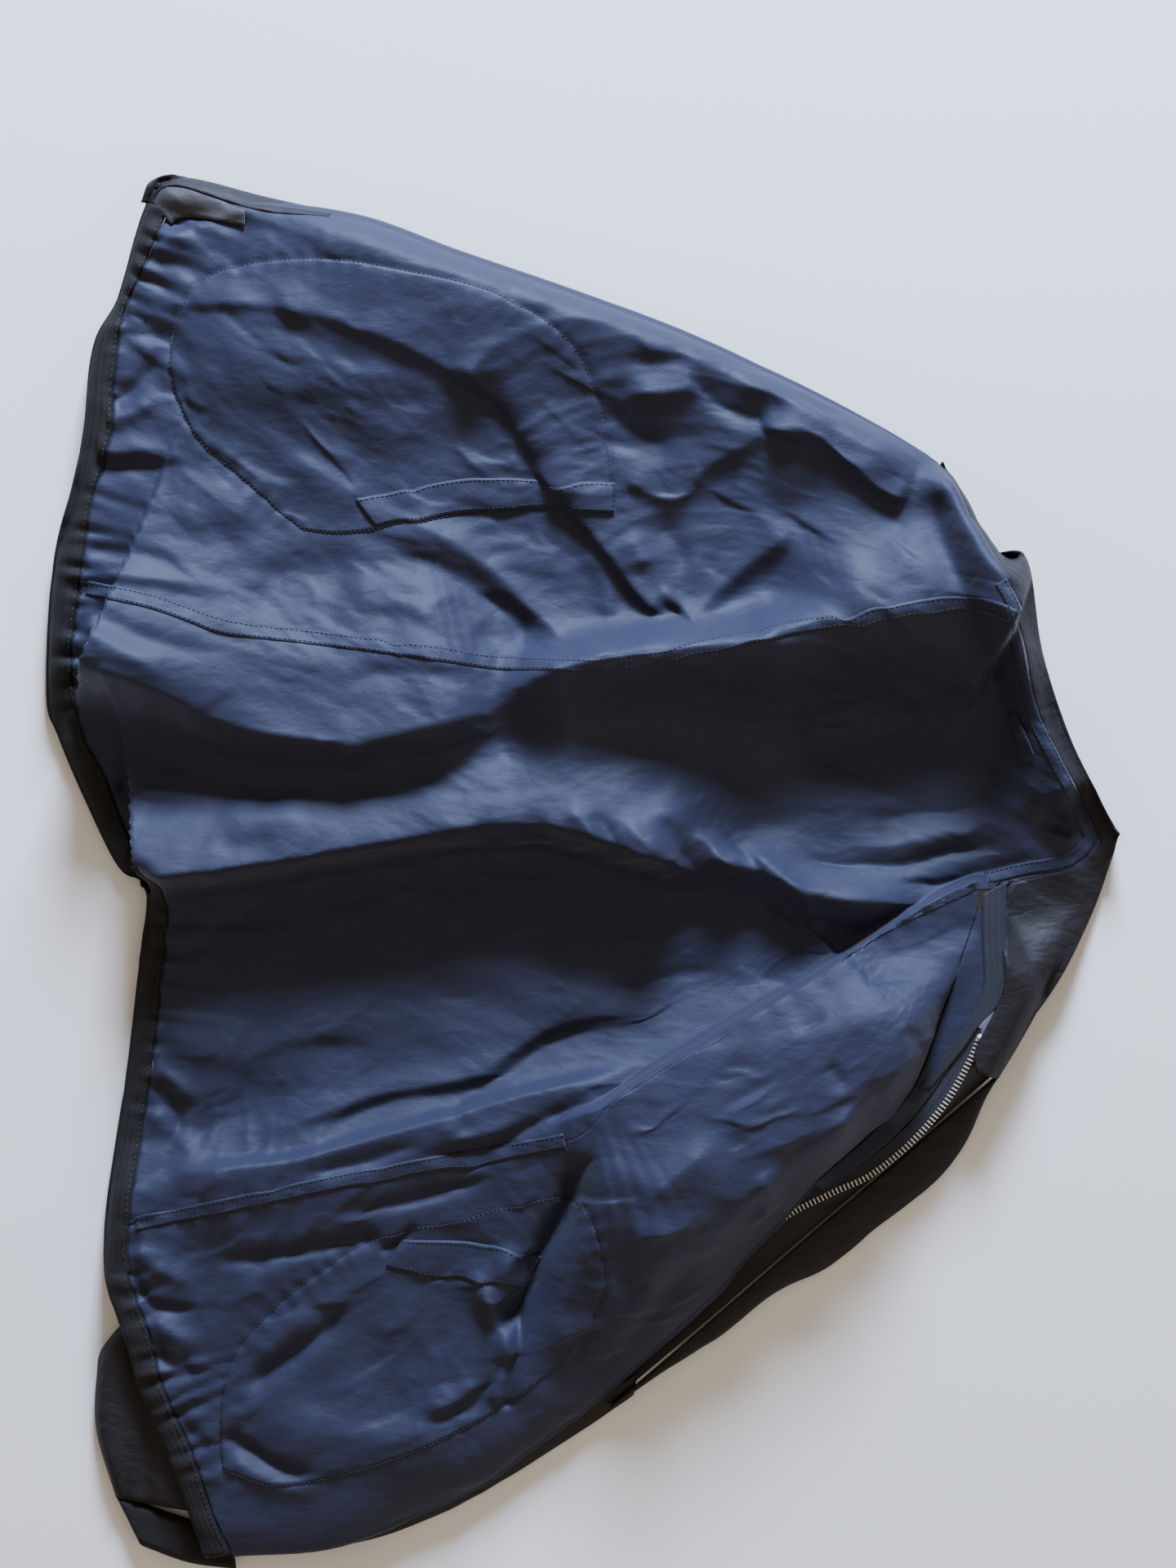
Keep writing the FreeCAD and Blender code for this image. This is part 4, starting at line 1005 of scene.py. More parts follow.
# ---- the body -----------------------------------------------------------
@dataclass
class Panel:
    """One lined and padded panel of the body: its four edges as laid out, and what it stands for."""

    name: str
    top: Run
    bottom: Run
    start: Run
    end: Run
    side: Side | None = None
    curl_top: bool = False
    curl_bottom: bool = False
    pitch: float = 2.1
    shell_drop: float = 7.2
    shell_t: float = 1.0
    filling_drop: float = 1.3
    filling_t: float = 4.8
    thinning: int = 3
    take_up: float = 1.14

    def curled(self, grid: np.ndarray, first: bool, drop: float) -> np.ndarray:
        """Add rows that roll the sheet down and under along one long edge.

        Args:
            grid: The sheet's points, shape (m, n, 3), in metres.
            first: True for the edge of the first column, False for the last.
            drop: How low the roll goes, in metres above the surface.

        Returns:
            The longer grid.
        """
        edge, inner = (grid[:, 0], grid[:, 2]) if first else (grid[:, -1], grid[:, -3])
        out = outwards(edge - inner)
        radius = np.maximum((edge[:, 2] - drop) / 2, 0.0006)[:, None]
        rows = []
        for turn in np.radians([25, 50, 75, 100, 125, 150, 172]):
            row = edge + out * np.minimum(radius, 0.004) * 0.9 * math.sin(turn)
            row[:, 2] -= radius[:, 0] * (1 - math.cos(turn))
            row -= out * 0.009 * max(0.0, turn - 1.9)
            rows.append(row)
        extra = np.stack(rows, axis=1)
        return np.concatenate([extra[:, ::-1], grid] if first else [grid, extra], axis=1)

    def build(self, finishes: Wardrobe) -> list[bpy.types.Object]:
        """Make the lining, the wadding and the shell.

        Args:
            finishes: The jacket's finishes.

        Returns:
            The three pieces.
        """
        plan = patch(self.top, self.bottom, self.start, self.end, self.pitch)
        grid = on_cloth(plan)
        if self.curl_top:
            grid = self.curled(grid, True, 0.0035)
        if self.curl_bottom:
            grid = self.curled(grid, False, 0.006)
        lining = sheet_from(f"{self.name}_taffeta", grid, CLOTH_T * MM)
        dress(lining, finishes.taffeta, LINING, f"{self.name}_lining")

        rough, face = self.lowest(plan, on_cloth(plan))
        shell = self.layer(f"{self.name}_outer", face, self.shell_drop, self.shell_t)
        dress(shell, finishes.shell, SHELL, f"{self.name}_shell")
        filling = self.layer(f"{self.name}_filling", face, self.filling_drop, self.filling_t, inset=True)
        dress(filling, finishes.wadding, "wadding", f"{self.name}_wadding", fill=0.5)
        return [lining, filling, shell]

    def lowest(self, plan: np.ndarray, face: np.ndarray) -> tuple[np.ndarray, np.ndarray]:
        """Return every third place of a grid, each at the lowest height of the cloth close to it."""
        heights, step = face[..., 2], self.thinning
        padded = np.pad(heights, step, mode="edge")
        m, n = heights.shape
        shifts = range(2 * step + 1)
        low = np.min([padded[a:a + m, b:b + n] for a in shifts for b in shifts], axis=0)
        keep_m = np.unique(np.append(np.arange(0, m, step), m - 1))
        keep_n = np.unique(np.append(np.arange(0, n, step), n - 1))
        grid = face.copy()
        grid[..., 2] = low
        return plan[np.ix_(keep_m, keep_n)], grid[np.ix_(keep_m, keep_n)]

    def layer(self, name: str, face: np.ndarray, drop: float, thick: float, inset: bool = False) -> object:
        """Make a layer under the lining.

        Args:
            name: The piece's name.
            face: The lining's points, in metres.
            drop: How far the layer's upper side lies below the lining, in millimetres.
            thick: Its thickness.
            inset: True to keep its rim a little inside the panel.

        Returns:
            The new closed piece.
        """
        grid = face[1:-1, 1:-1].copy() if inset else face.copy()
        lowest = 1.0 if thick > 2 else 0.4
        grid[..., 2] = np.maximum(grid[..., 2] - drop * MM, (lowest + min(thick, 2.0)) * MM)
        under = grid.copy()
        under[..., 2] = np.maximum(grid[..., 2] - thick * MM, lowest * MM)
        return closed(name, grid, under)


def laid_band(name: str, plan: np.ndarray, above: float, thick: float) -> bpy.types.Object:
    """Make a thin sheet that follows the lining over a plan grid.

    Args:
        name: The piece's name.
        plan: Its places, shape (m, n, 2), in millimetres.
        above: Height of its upper side above the lining's face, in millimetres.
        thick: Its thickness, in millimetres.

    Returns:
        The new object.
    """
    return sheet_from(name, on_cloth(plan, above), thick * MM)


def between(a: Run, b: Run, pitch: float, rows: int) -> np.ndarray:
    """Return a plan grid between two runs, shape (m, rows, 2)."""
    count = int(max(a.length(), b.length()) / pitch) + 1
    t = np.linspace(0, 1, rows)[None, :, None]
    return a.even(count)[:, None] * (1 - t) + b.even(count)[:, None] * t


@dataclass
class Body:
    """The lined and padded body, its seam strips and their stitching."""

    finishes: Wardrobe
    strip_width: float = 8.5
    strip_t: float = 0.4
    stitch_in: float = 1.3
    stitch: Stitching = Stitching()

    def build(self) -> list[bpy.types.Object]:
        """Make the three panels and the two felled seams."""
        panels = (
            Panel("right_front", RIGHT_EDGE, RIGHT_SEAM, HEM_RIGHT, NECK_RIGHT, curl_top=True),
            Panel("back", RIGHT_SEAM, LEFT_SEAM, HEM_BACK, NECK_BACK),
            Panel("left_front", LEFT_SEAM, LEFT_EDGE, HEM_LEFT, run((243, -1), (241, -6)), curl_bottom=True),
        )
        pieces = [piece for panel in panels for piece in panel.build(self.finishes)]
        for side, line in ((Side.RIGHT, RIGHT_SEAM), (Side.LEFT, Run(LEFT_SEAM.points[:5]))):
            pieces.append(self.seam(side, line))
        return pieces

    def seam(self, side: Side, line: Run) -> bpy.types.Object:
        """Make one felled seam strip with a row of stitches along each edge."""
        half = self.strip_width / 2
        plan = band_grid(line, half, -half, 2.2, 8)[2:-2]
        strip = laid_band(f"{side.value}_seam_strip", plan, 0.7, self.strip_t)
        dress(strip, self.finishes.taffeta, LINING, f"{side.value}_side_seam_tape")
        inset = half - self.stitch_in
        rows = self.stitch.row(line, 0.9, inset) + self.stitch.row(line, 0.9, -inset)
        thread = merged(f"{side.value}_seam_stitches", rows)
        dress(thread, self.finishes.thread, LINING)
        return strip


@dataclass
class HemBand:
    """The elastic hem: a folded twill tape over a strip of elastic, and its rows of stitching."""

    finishes: Wardrobe
    seam: Run = HEM
    edge: Run = HEM_EDGE
    rows: int = 9
    elastic_t: float = 1.8
    stitch: Stitching = Stitching(2.4, 1.0, 0.28)

    def build(self) -> list[bpy.types.Object]:
        """Make the band, its elastic and its stitches."""
        plan = between(self.seam, self.edge, 2.0, self.rows)
        face = on_cloth(plan, 0.5)
        along = np.arange(len(face))[:, None]
        share = np.linspace(0, 1, self.rows)[None, :]
        ripple = np.sin(along / 1.9 + 1.4 * np.sin(along / 11.0)) * (0.6 + 0.4 * np.sin(along / 17.0))
        face[..., 2] += (1.3 * np.sin(math.pi * share) ** 0.6 + 0.6 * ripple * (1 - 0.4 * share)) * MM
        out = outwards(face[:, -1] - face[:, -3])
        fold = [face]
        depth = np.maximum((face[:, -1, 2] - 2.8 * MM) / 2, MM)
        for turn in np.radians([30, 60, 90, 120, 150, 178]):
            row = face[:, -1] + out * 2 * MM * math.sin(turn) - out * 4 * MM * max(0.0, turn - 1.8)
            row[:, 2] -= depth * (1 - math.cos(turn))
            fold.append(row[:, None])
        band = sheet_from("hem_band", np.concatenate(fold, axis=1), 0.7 * MM)
        dress(band, self.finishes.band, BAND, "hem_band_facing", "hem_band_shell")

        inner = between(self.seam, self.edge, 3.0, self.rows)[:, 2:-2]
        core = on_cloth(inner, -1.4)
        core[..., 2] = np.maximum(core[..., 2], 4 * MM)
        low = core - (0, 0, self.elastic_t * MM)
        elastic = closed("hem_elastic_strip", core, low)
        dress(elastic, self.finishes.elastic, "elastic", "hem_elastic", fill=0.9)

        thread = merged("hem_stitches", self.stitch.row(self.seam, 1.7, -2.0))
        dress(thread, self.finishes.black_thread, BAND)
        return [band, elastic, thread]


@dataclass
class Pocket:
    """An inside pocket: its bag stitched to the lining, and the band along its mouth."""

    side: Side
    bag: tuple[Run, Run, Run, Run]
    mouth_top: Run
    mouth_bottom: Run
    finishes: Wardrobe
    tack: tuple[Run, ...] = ()
    band_rows: int = 12
    stitch: Stitching = Stitching(1.9, 0.9, 0.25)

    def build(self) -> list[bpy.types.Object]:
        """Make the bag, the band and their stitches."""
        side = self.side.value
        plan = patch(*self.bag, 2.3)
        bag = laid_band(f"{side}_pocket_bag_cloth", plan, 0.55, 0.35)
        dress(bag, self.finishes.taffeta, LINING, f"{side}_pocket_bag")
        rows = [one for edge in self.bag for one in self.stitch.row(edge, 0.6)]
        thread = merged(f"{side}_pocket_stitches", rows)
        dress(thread, self.finishes.thread, LINING)

        band_plan = between(self.mouth_top, self.mouth_bottom, 1.8, self.band_rows)
        face = on_cloth(band_plan, 1.5)
        face[..., 2] += 0.8 * MM * np.sin(np.linspace(0, math.pi, self.band_rows))[None, :] ** 0.7
        band = sheet_from(f"{side}_pocket_band", face, CLOTH_T * MM)
        dress(band, self.finishes.taffeta, LINING, f"{side}_pocket_mouth_facing")
        rows = []
        for line, offset in ((self.mouth_top, -1.6), (self.mouth_bottom, 1.6)):
            rows += self.stitch.row(line, 2.0, offset)
        for line in self.tack:
            rows += self.stitch.row(line, 2.3)
        edges = merged(f"{side}_pocket_band_stitches", rows)
        dress(edges, self.finishes.thread, LINING)
        return [bag, band, thread, edges]


@dataclass
class HemCorner:
    """The right front's lower corner: a grey facing and the shell turned over its edge."""

    finishes: Wardrobe
    rows: int = 8
    facing_out: Run = run((-262, 415), (-256, 424), (-244, 425), (-225, 419), (-203, 409))
    facing_in: Run = run((-248, 400), (-243, 404), (-234, 404), (-220, 402), (-203, 398))
    rim_out: Run = run((-267, 414), (-261, 427), (-246, 431), (-225, 427), (-191, 418), (-150, 409))
    rim_in: Run = run((-260, 413), (-254, 422), (-243, 423), (-224, 417), (-192, 407), (-152, 404))

    def build(self) -> list[bpy.types.Object]:
        """Make the facing and the rim."""
        pieces = []
        for name, outer, inner, lift, finish in (
                ("corner_facing", self.facing_out, self.facing_in, 2.2, self.finishes.corner),
                ("corner_rim", self.rim_out, self.rim_in, 0.6, self.finishes.shell)):
            plan = between(inner, outer, 2.0, self.rows)
            face = on_cloth(plan, lift)
            share = np.linspace(0, 1, self.rows)[None, :]
            face[..., 2] = np.maximum(face[..., 2] - 3.0 * MM * share ** 2, 3.0 * MM)
            piece = sheet_from(name, face, 0.7 * MM)
            dress(piece, finish, SHELL)
            pieces.append(piece)
        return pieces


@dataclass
class Collar:
    """The stand-up collar seen from inside: two black leaves, its lining between them, and the neck tape."""

    finishes: Wardrobe
    behind_in: Run = run((217, 255), (237, 210), (251, 181), (262, 155), (273, 111), (289, 76), (309, 41),
                         (316, 25))
    behind_out: Run = run((219, 257), (240, 214), (251, 201), (269, 196), (278, 141), (294, 91), (311, 56),
                          (325, 31))
    front_in: Run = run((316, 25), (300, 10), (270, 4), (258, -3), (254, -30), (254, -54), (250, -72),
                        (243, -86), (237, -98), (238, -112))
    front_out: Run = run((325, 31), (321, 12), (310, -18), (292, -53), (273, -83), (262, -101), (252, -117))
    loop: Run = run((259, 104), (264, 92), (270, 78))
    tape_run: Run = run((250, 183), (261, 157), (272, 113), (288, 78), (307, 43), (313, 27), (299, 12),
                        (271, 6), (247, 0))
    tape_edges: tuple[float, float] = (-0.5, -8.0)
    stitch: Stitching = Stitching(2.1, 0.9, 0.26)
    rows: int = 12
    take_up: float = 1.4

    def leaf(self, name: str, drop: float, material: object, slot: str, node: str) -> bpy.types.Object:
        """Make one leaf of the collar as a folded strip round the neck, `drop` below the face."""
        grids = []
        for inner, outer in ((self.behind_in, self.behind_out), (self.front_in, self.front_out)):
            grids.append(between(inner, outer, 2.5, self.rows))
        plan = np.concatenate([grids[0], grids[1][1:]], axis=0)
        face = on_cloth(plan, 0.4 - drop)
        share = np.linspace(0, 1, self.rows)[None, :]
        face[..., 2] = np.maximum(face[..., 2] - 2.0 * MM * share ** 2, 2.5 * MM - drop * 0.3 * MM)
        out = outwards(face[:, -1] - face[:, -4])
        rows = [face]
        depth = np.maximum((face[:, -1, 2] - 0.003) / 2, 0.0008)
        for turn in np.radians([35, 70, 105, 140, 172]):
            row = face[:, -1] + out * 0.0015 * math.sin(turn)
            row[:, 2] -= depth * (1 - math.cos(turn))
            rows.append(row[:, None])
        leaf = sheet_from(name, np.concatenate(rows, axis=1) if drop == 0 else face, 0.8 * MM)
        dress(leaf, material, slot, node)
        return leaf

    def build(self) -> list[bpy.types.Object]:
        """Make the collar and what is sewn to the neckline."""
        finishes = self.finishes
        pieces = [
            self.leaf("collar_inner_leaf", 0.0, finishes.shell, SHELL, "collar_upper_leaf"),
            self.leaf("collar_stiffener", 1.6, finishes.corner, "wadding", "collar_interlining"),
            self.leaf("collar_outer_leaf", 3.0, finishes.shell, SHELL, "collar_under_leaf"),
        ]
        plan = band_grid(self.tape_run, *self.tape_edges, 1.8, 8)
        tape = laid_band("neck_tape_strip", plan, 0.6, 0.4)
        dress(tape, finishes.taffeta, LINING, "neck_tape")
        rows = [one for offset in (-1.6, -7.0) for one in self.stitch.row(self.tape_run, 1.0, offset)]
        thread = merged("neck_stitches", rows)
        dress(thread, finishes.thread, LINING)

        loop_plan = band_grid(self.loop, 2.6, -2.6, 1.4, 6)
        face = on_cloth(loop_plan, 1.9)
        rise = np.sin(np.linspace(0, math.pi, len(face)))[:, None]
        face[..., 2] += 2.6 * MM * rise
        loop = sheet_from("hanger_loop_tape", face, 0.9 * MM)
        dress(loop, finishes.taffeta, BAND, "hanger_loop")
        return pieces + [tape, loop]


def chain_level(points: np.ndarray) -> np.ndarray:
    """Return the height of the middle of the left zip at places on its run, in millimetres."""
    known = np.array(CHAIN.points)
    order = np.argsort(known[:, 0])
    return np.interp(points[..., 0], known[order, 0], np.array(CHAIN_LEVEL, float)[order])


@dataclass
class LeftFrontEdge:
    """The wearer's left front edge: facing, zip tape, teeth, top stop, pin, placket and storm flap."""

    finishes: Wardrobe
    tooth_pitch: float = 2.5
    first_tooth: int = 7
    tape_edges: tuple[float, float] = (9.0, 0.4)
    rows: int = 10
    flap_rows: int = 14
    facing_rows: int = 12
    flap_seam: float = 8.2
    hinge: Run = run((255, -114), (196, -165), (136, -216), (77, -267), (17, -318))
    flap_edge: Run = run((254, -118), (247, -130), (235, -157), (220, -178), (200, -195), (180, -210),
                         (152, -233), (126, -245), (110, -255), (87, -274), (52, -296), (30, -311),
                         (19, -318.5))
    facing_in: Run = run((141, -180), (153, -170), (173, -152), (200, -122), (213, -90), (225, -55),
                         (242, -6))
    facing_out: Run = run((146, -186), (160, -175), (176, -163), (193, -147), (212, -124), (226, -100),
                          (235, -84), (243, -62), (244, -30), (246, -6))
    stand_in: Run = run((241, -5), (241, -29), (242, -58), (237, -74), (226, -90), (211, -113), (203, -122))
    stand_out: Run = run((256, 3), (255, -24), (256, -50), (252, -70), (240, -83), (229, -99), (210, -122))

    def follow(self, plan: np.ndarray, above: float) -> np.ndarray:
        """Return points over a plan that lie level with the chain where they are near it, in metres."""
        _, along, _ = CHAIN.near(plan[..., 0], plan[..., 1])
        dense = CHAIN.even(200)
        level = np.interp(along, np.linspace(0, CHAIN.length(), len(dense)), chain_level(dense))
        return np.concatenate([plan, (level + above)[..., None]], axis=-1) * MM

    def build(self) -> list[bpy.types.Object]:
        """Make every piece along the edge."""
        finishes = self.finishes
        plan = between(self.facing_in, self.facing_out, 2.0, self.facing_rows)
        face = self.follow(plan, 0.6)
        inner = on_cloth(plan, 0.4)
        share = np.linspace(0, 1, self.facing_rows)[None, :]
        face[..., 2] += (inner[:, :1, 2] - face[:, :1, 2]) * (1 - ease(share / 0.8))
        facing = sheet_from("left_front_facing_cloth", face, CLOTH_T * MM)
        dress(facing, finishes.taffeta, LINING, "left_front_facing")

        tape_plan = band_grid(CHAIN, *self.tape_edges, 2.0, 8)
        tape = sheet_from("left_tape", self.follow(tape_plan, 0.0), 0.7 * MM)
        dress(tape, finishes.tape, "zip_tape", "left_zip_tape")
        return [facing, tape, self.chain(), self.stop(), self.pin(), self.stand(), self.placket(),
                self.rolled_shell(), self.flap()]

    def chain(self) -> bpy.types.Object:
        """Make the teeth, each with a shank, a shoulder and a rounded head."""
        count = int(CHAIN.length() / self.tooth_pitch)
        line = CHAIN.even(count + 1)
        ahead = np.gradient(line, axis=0)
        ahead /= np.linalg.norm(ahead, axis=1, keepdims=True)
        level = chain_level(line)
        half = [(-2.0, -0.55), (0.1, -0.62), (0.5, -0.42), (0.95, -0.42), (1.25, -0.66), (1.75, -0.52)]
        outline = np.array(half + [(1.95, 0.0)] + [(x, -y) for x, y in half[::-1]])
        parts = []
        for k in range(self.first_tooth, count - 2):
            x_dir = np.array([ahead[k][1], -ahead[k][0]])
            flat = line[k] + outline[:, :1] * x_dir + outline[:, 1:] * ahead[k]
            rings = []
            for z, grow in ((-1.25, 0.82), (-0.95, 1.0), (0.95, 1.0), (1.25, 0.82)):
                ring = line[k] + (flat - line[k]) * grow
                rings.append(np.concatenate([ring, np.full((len(ring), 1), level[k] - 0.2 + z)], axis=1))
            n = len(outline)
            faces = [list(range(n))[::-1], list(range(3 * n, 4 * n))]
            for r in range(3):
                for s in range(n):
                    a, b = r * n + s, r * n + (s + 1) % n
                    faces.append([a, b, b + n, a + n])
            parts.append((np.concatenate(rings) * MM, faces))
        teeth = merged("left_teeth", parts)
        for polygon in teeth.data.polygons:
            polygon.use_smooth = False
        dress(teeth, self.finishes.metal, "zip_metal", "left_zip_teeth")
        return teeth

    def small_block(self, name: str, node: str, share: float, size: tuple[float, float, float]) -> object:
        """Make a small rounded metal block on the chain, at a share of its length."""
        line = CHAIN.even(400)
        last = len(line) - 1
        k = int(share * last)
        ahead = line[min(k + 1, last)] - line[max(k - 1, 0)]
        bm = bmesh.new()
        bmesh.ops.create_cube(bm, size=1.0)
        for vert in bm.verts:
            vert.co = Vector([c * s * MM for c, s in zip(vert.co, size)])
        bmesh.ops.bevel(bm, geom=bm.edges[:], offset=min(size) * 0.28 * MM, segments=3, affect="EDGES")
        turn = math.atan2(ahead[1], ahead[0])
        level = float(chain_level(line[k]))
        for vert in bm.verts:
            x, y, z = vert.co
            vert.co = Vector((x * math.cos(turn) - y * math.sin(turn) + line[k][0] * MM,
                              x * math.sin(turn) + y * math.cos(turn) + line[k][1] * MM,
                              z + (level + 0.1) * MM))
        mesh = bpy.data.meshes.new(name)
        bm.to_mesh(mesh)
        bm.free()
        mesh.polygons.foreach_set("use_smooth", [True] * len(mesh.polygons))
        piece = bpy.data.objects.new(name, mesh)
        bpy.context.scene.collection.objects.link(piece)
        dress(piece, self.finishes.metal, "zip_metal", node)
        return piece

    def stop(self) -> bpy.types.Object:
        """Make the top stop, clinched over the last of the chain."""
        return self.small_block("left_stop", "left_top_stop", 0.992, (4.6, 3.6, 3.2))

    def pin(self) -> bpy.types.Object:
        """Make the insertion pin at the hem."""
        return self.small_block("left_pin", "insertion_pin", 0.009, (13.0, 2.2, 2.4))

    def stand(self) -> bpy.types.Object:
        """Make the grey tape that runs from the chain up the collar stand."""
        plan = between(self.stand_in, self.stand_out, 2.0, 9)
        face = self.follow(plan, 1.3)
        tape = sheet_from("collar_stand_strip", face, 0.7 * MM)
        dress(tape, self.finishes.tape, BAND, "collar_stand_tape")
        return tape

    def placket(self) -> bpy.types.Object:
        """Make the shell between the chain and the storm flap's seam."""
        near_chain = run((8, -308), (69, -251.5), (118, -207.5), (151, -188.5), (175, -176.5), (200, -155.5),
                         (221, -131), (233, -108), (240, -98))
        near_flap = run((16, -317), (76, -266), (135, -215), (195, -164), (254, -113))
        plan = between(near_chain, near_flap, 2.5, self.rows)
        face = self.follow(plan, -0.8)
        share = np.linspace(0, 1, self.rows)[None, :]
        face[..., 2] += (self.flap_seam * MM - face[:, -1:, 2]) * ease(share)
        piece = sheet_from("left_placket", face, 0.9 * MM)
        dress(piece, self.finishes.shell, SHELL, "left_front_placket")
        return piece

    def rolled_shell(self) -> bpy.types.Object:
        """Make the shell's edge that shows below the lining, from the storm flap to the hem."""
        inner = run((34, -298), (10, -312), (-31, -340), (-72, -366), (-110, -384), (-150, -396))
        outer = run((32, -312), (12, -326), (-31, -354), (-74, -379), (-114, -396), (-152, -406))
        plan = between(inner, outer, 2.5, self.rows)
        share = np.linspace(0, 1, self.rows)[None, :]
        along = np.arange(len(plan))[:, None]
        level = 9.0 - 6.5 * share ** 2 + 0.7 * np.sin(along / 2.1 + 2 * np.sin(along / 7.0)) * share
        face = np.concatenate([plan, np.broadcast_to(level[..., None], plan.shape[:2] + (1,))], axis=2) * MM
        piece = sheet_from("left_rolled_shell", face, 0.9 * MM)
        dress(piece, self.finishes.shell, SHELL)
        return piece

    def flap(self) -> bpy.types.Object:
        """Make the storm flap, a quilted strip that folds about its seam."""
        plan = between(self.hinge, self.flap_edge, 2.2, self.flap_rows)
        share = np.linspace(0, 1, self.flap_rows)[None, :]
        gap = np.linalg.norm(plan - plan[:, :1], axis=2)
        along = np.arange(len(plan))[:, None]
        ripple = np.sin(along / 2.7 + 1.6 * np.sin(along / 9.0)) * share * np.sin(along / 14.0)
        top = 9.9 - gap * 0.16 + 1.6 * np.sin(math.pi * share) ** 0.7 + 0.9 * ripple
        top = np.maximum(top - 2.4 * np.maximum(share - 0.8, 0) / 0.2, 2.2)
        upper = np.concatenate([plan, top[..., None]], axis=2) * MM
        lower = upper.copy()
        lower[..., 2] = np.maximum(upper[..., 2] - (1.2 + 1.2 * np.sin(math.pi * share)) * MM, 0.0006)
        flap = closed("storm_flap_cloth", upper, lower)
        dress(flap, self.finishes.shell, SHELL, "storm_flap", body="storm_flap")
        return flap


@dataclass
class Sleeve:
    """A sleeve pressed flat under the body, and its cuff."""

    side: Side
    top: Run
    bottom: Run
    cuff: tuple[Run, Run]
    finishes: Wardrobe
    thick: float = 14.5
    seed: float = 3.0
    crease: float = 4.2
    rim_share: float = 0.42
    core_share: float = 0.9
    core_lift: float = 1.8

    def puffed(self, name: str, plan: np.ndarray, thick: float, round_mm: float, crease: float) -> object:
        """Make a flat padded shape over a plan grid, rounded at its long edges and creased on top."""
        m, n, _ = plan.shape
        steps = np.linalg.norm(np.diff(plan, axis=1), axis=2).mean()
        edge = np.minimum(np.arange(n), np.arange(n)[::-1])[None, :] * steps * np.ones((m, 1))
        ends = np.minimum(np.arange(m), np.arange(m)[::-1])[:, None] * np.linalg.norm(
            np.diff(plan, axis=0), axis=2).mean()
        near = np.clip(np.minimum(edge, ends * 1.6 + 2.0) / round_mm, 0, 1)
        rise = np.sqrt(1 - (1 - near) ** 2)
        wrinkle = np.array([[noise.noise(Vector((px / 26.0, py / 60.0, self.seed)))
                             - 1.1 * abs(noise.noise(Vector((px / 15.0, py / 34.0, self.seed + 2))))
                             for px, py in row] for row in plan])
        rim = self.rim_share
        top = thick * (rim + (1 - rim) * rise) + crease * wrinkle * rise
        low = thick * rim * (1 - rise) + 0.5
        upper = np.concatenate([plan, top[..., None]], axis=2) * MM
        lower = np.concatenate([plan, np.minimum(low, top - 0.6)[..., None]], axis=2) * MM
        return closed(name, upper, lower)

    def build(self) -> list[bpy.types.Object]:
        """Make the sleeve's shell, its lining and its cuff."""
        side = self.side.value
        start = run(self.top.points[0], self.bottom.points[0])
        end = run(self.top.points[-1], self.bottom.points[-1])
        plan = patch(self.top, self.bottom, start, end, 3.6)
        shell = self.puffed(f"{side}_sleeve", plan, self.thick, 9.0, self.crease)
        dress(shell, self.finishes.shell, SHELL, f"{side}_sleeve_shell", fill=0.35)
        core = patch(self.top, self.bottom, start, end, 12.0)
        middle = core.mean(axis=(0, 1))
        core = middle + (core - middle) * self.core_share
        inner = self.puffed(f"{side}_sleeve_core", core, self.thick - 6.0, 20.0, 0.0)
        inner.data.transform(Matrix.Translation((0, 0, self.core_lift * MM)))
        dress(inner, self.finishes.taffeta, LINING, f"{side}_sleeve_lining", fill=0.2)
        band = between(self.cuff[0], self.cuff[1], 2.0, 14)
        cuff = self.puffed(f"{side}_cuff_band", band, 11.5, 7.0, 1.6)
        dress(cuff, self.finishes.band, BAND, f"{side}_cuff", fill=0.5)
        return [shell, inner, cuff]


@dataclass
class RightZip:
    """The wearer's right half of the zip, tucked under the rolled edge, with its slider and pull tab."""

    finishes: Wardrobe
    metal: tuple[str, ...] = ("right_zip_teeth", "retainer_box", "right_top_stop", "zip_slider",
                              "zip_pull_tab")

    def build(self) -> list[bpy.types.Object]:
        """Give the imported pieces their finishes; they are shown as they are."""
        pieces = []
        for name in self.metal:
            pieces.append(coat(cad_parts[name], self.finishes.metal))
        return pieces + [coat(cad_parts["right_zip_tape"], self.finishes.elastic)]


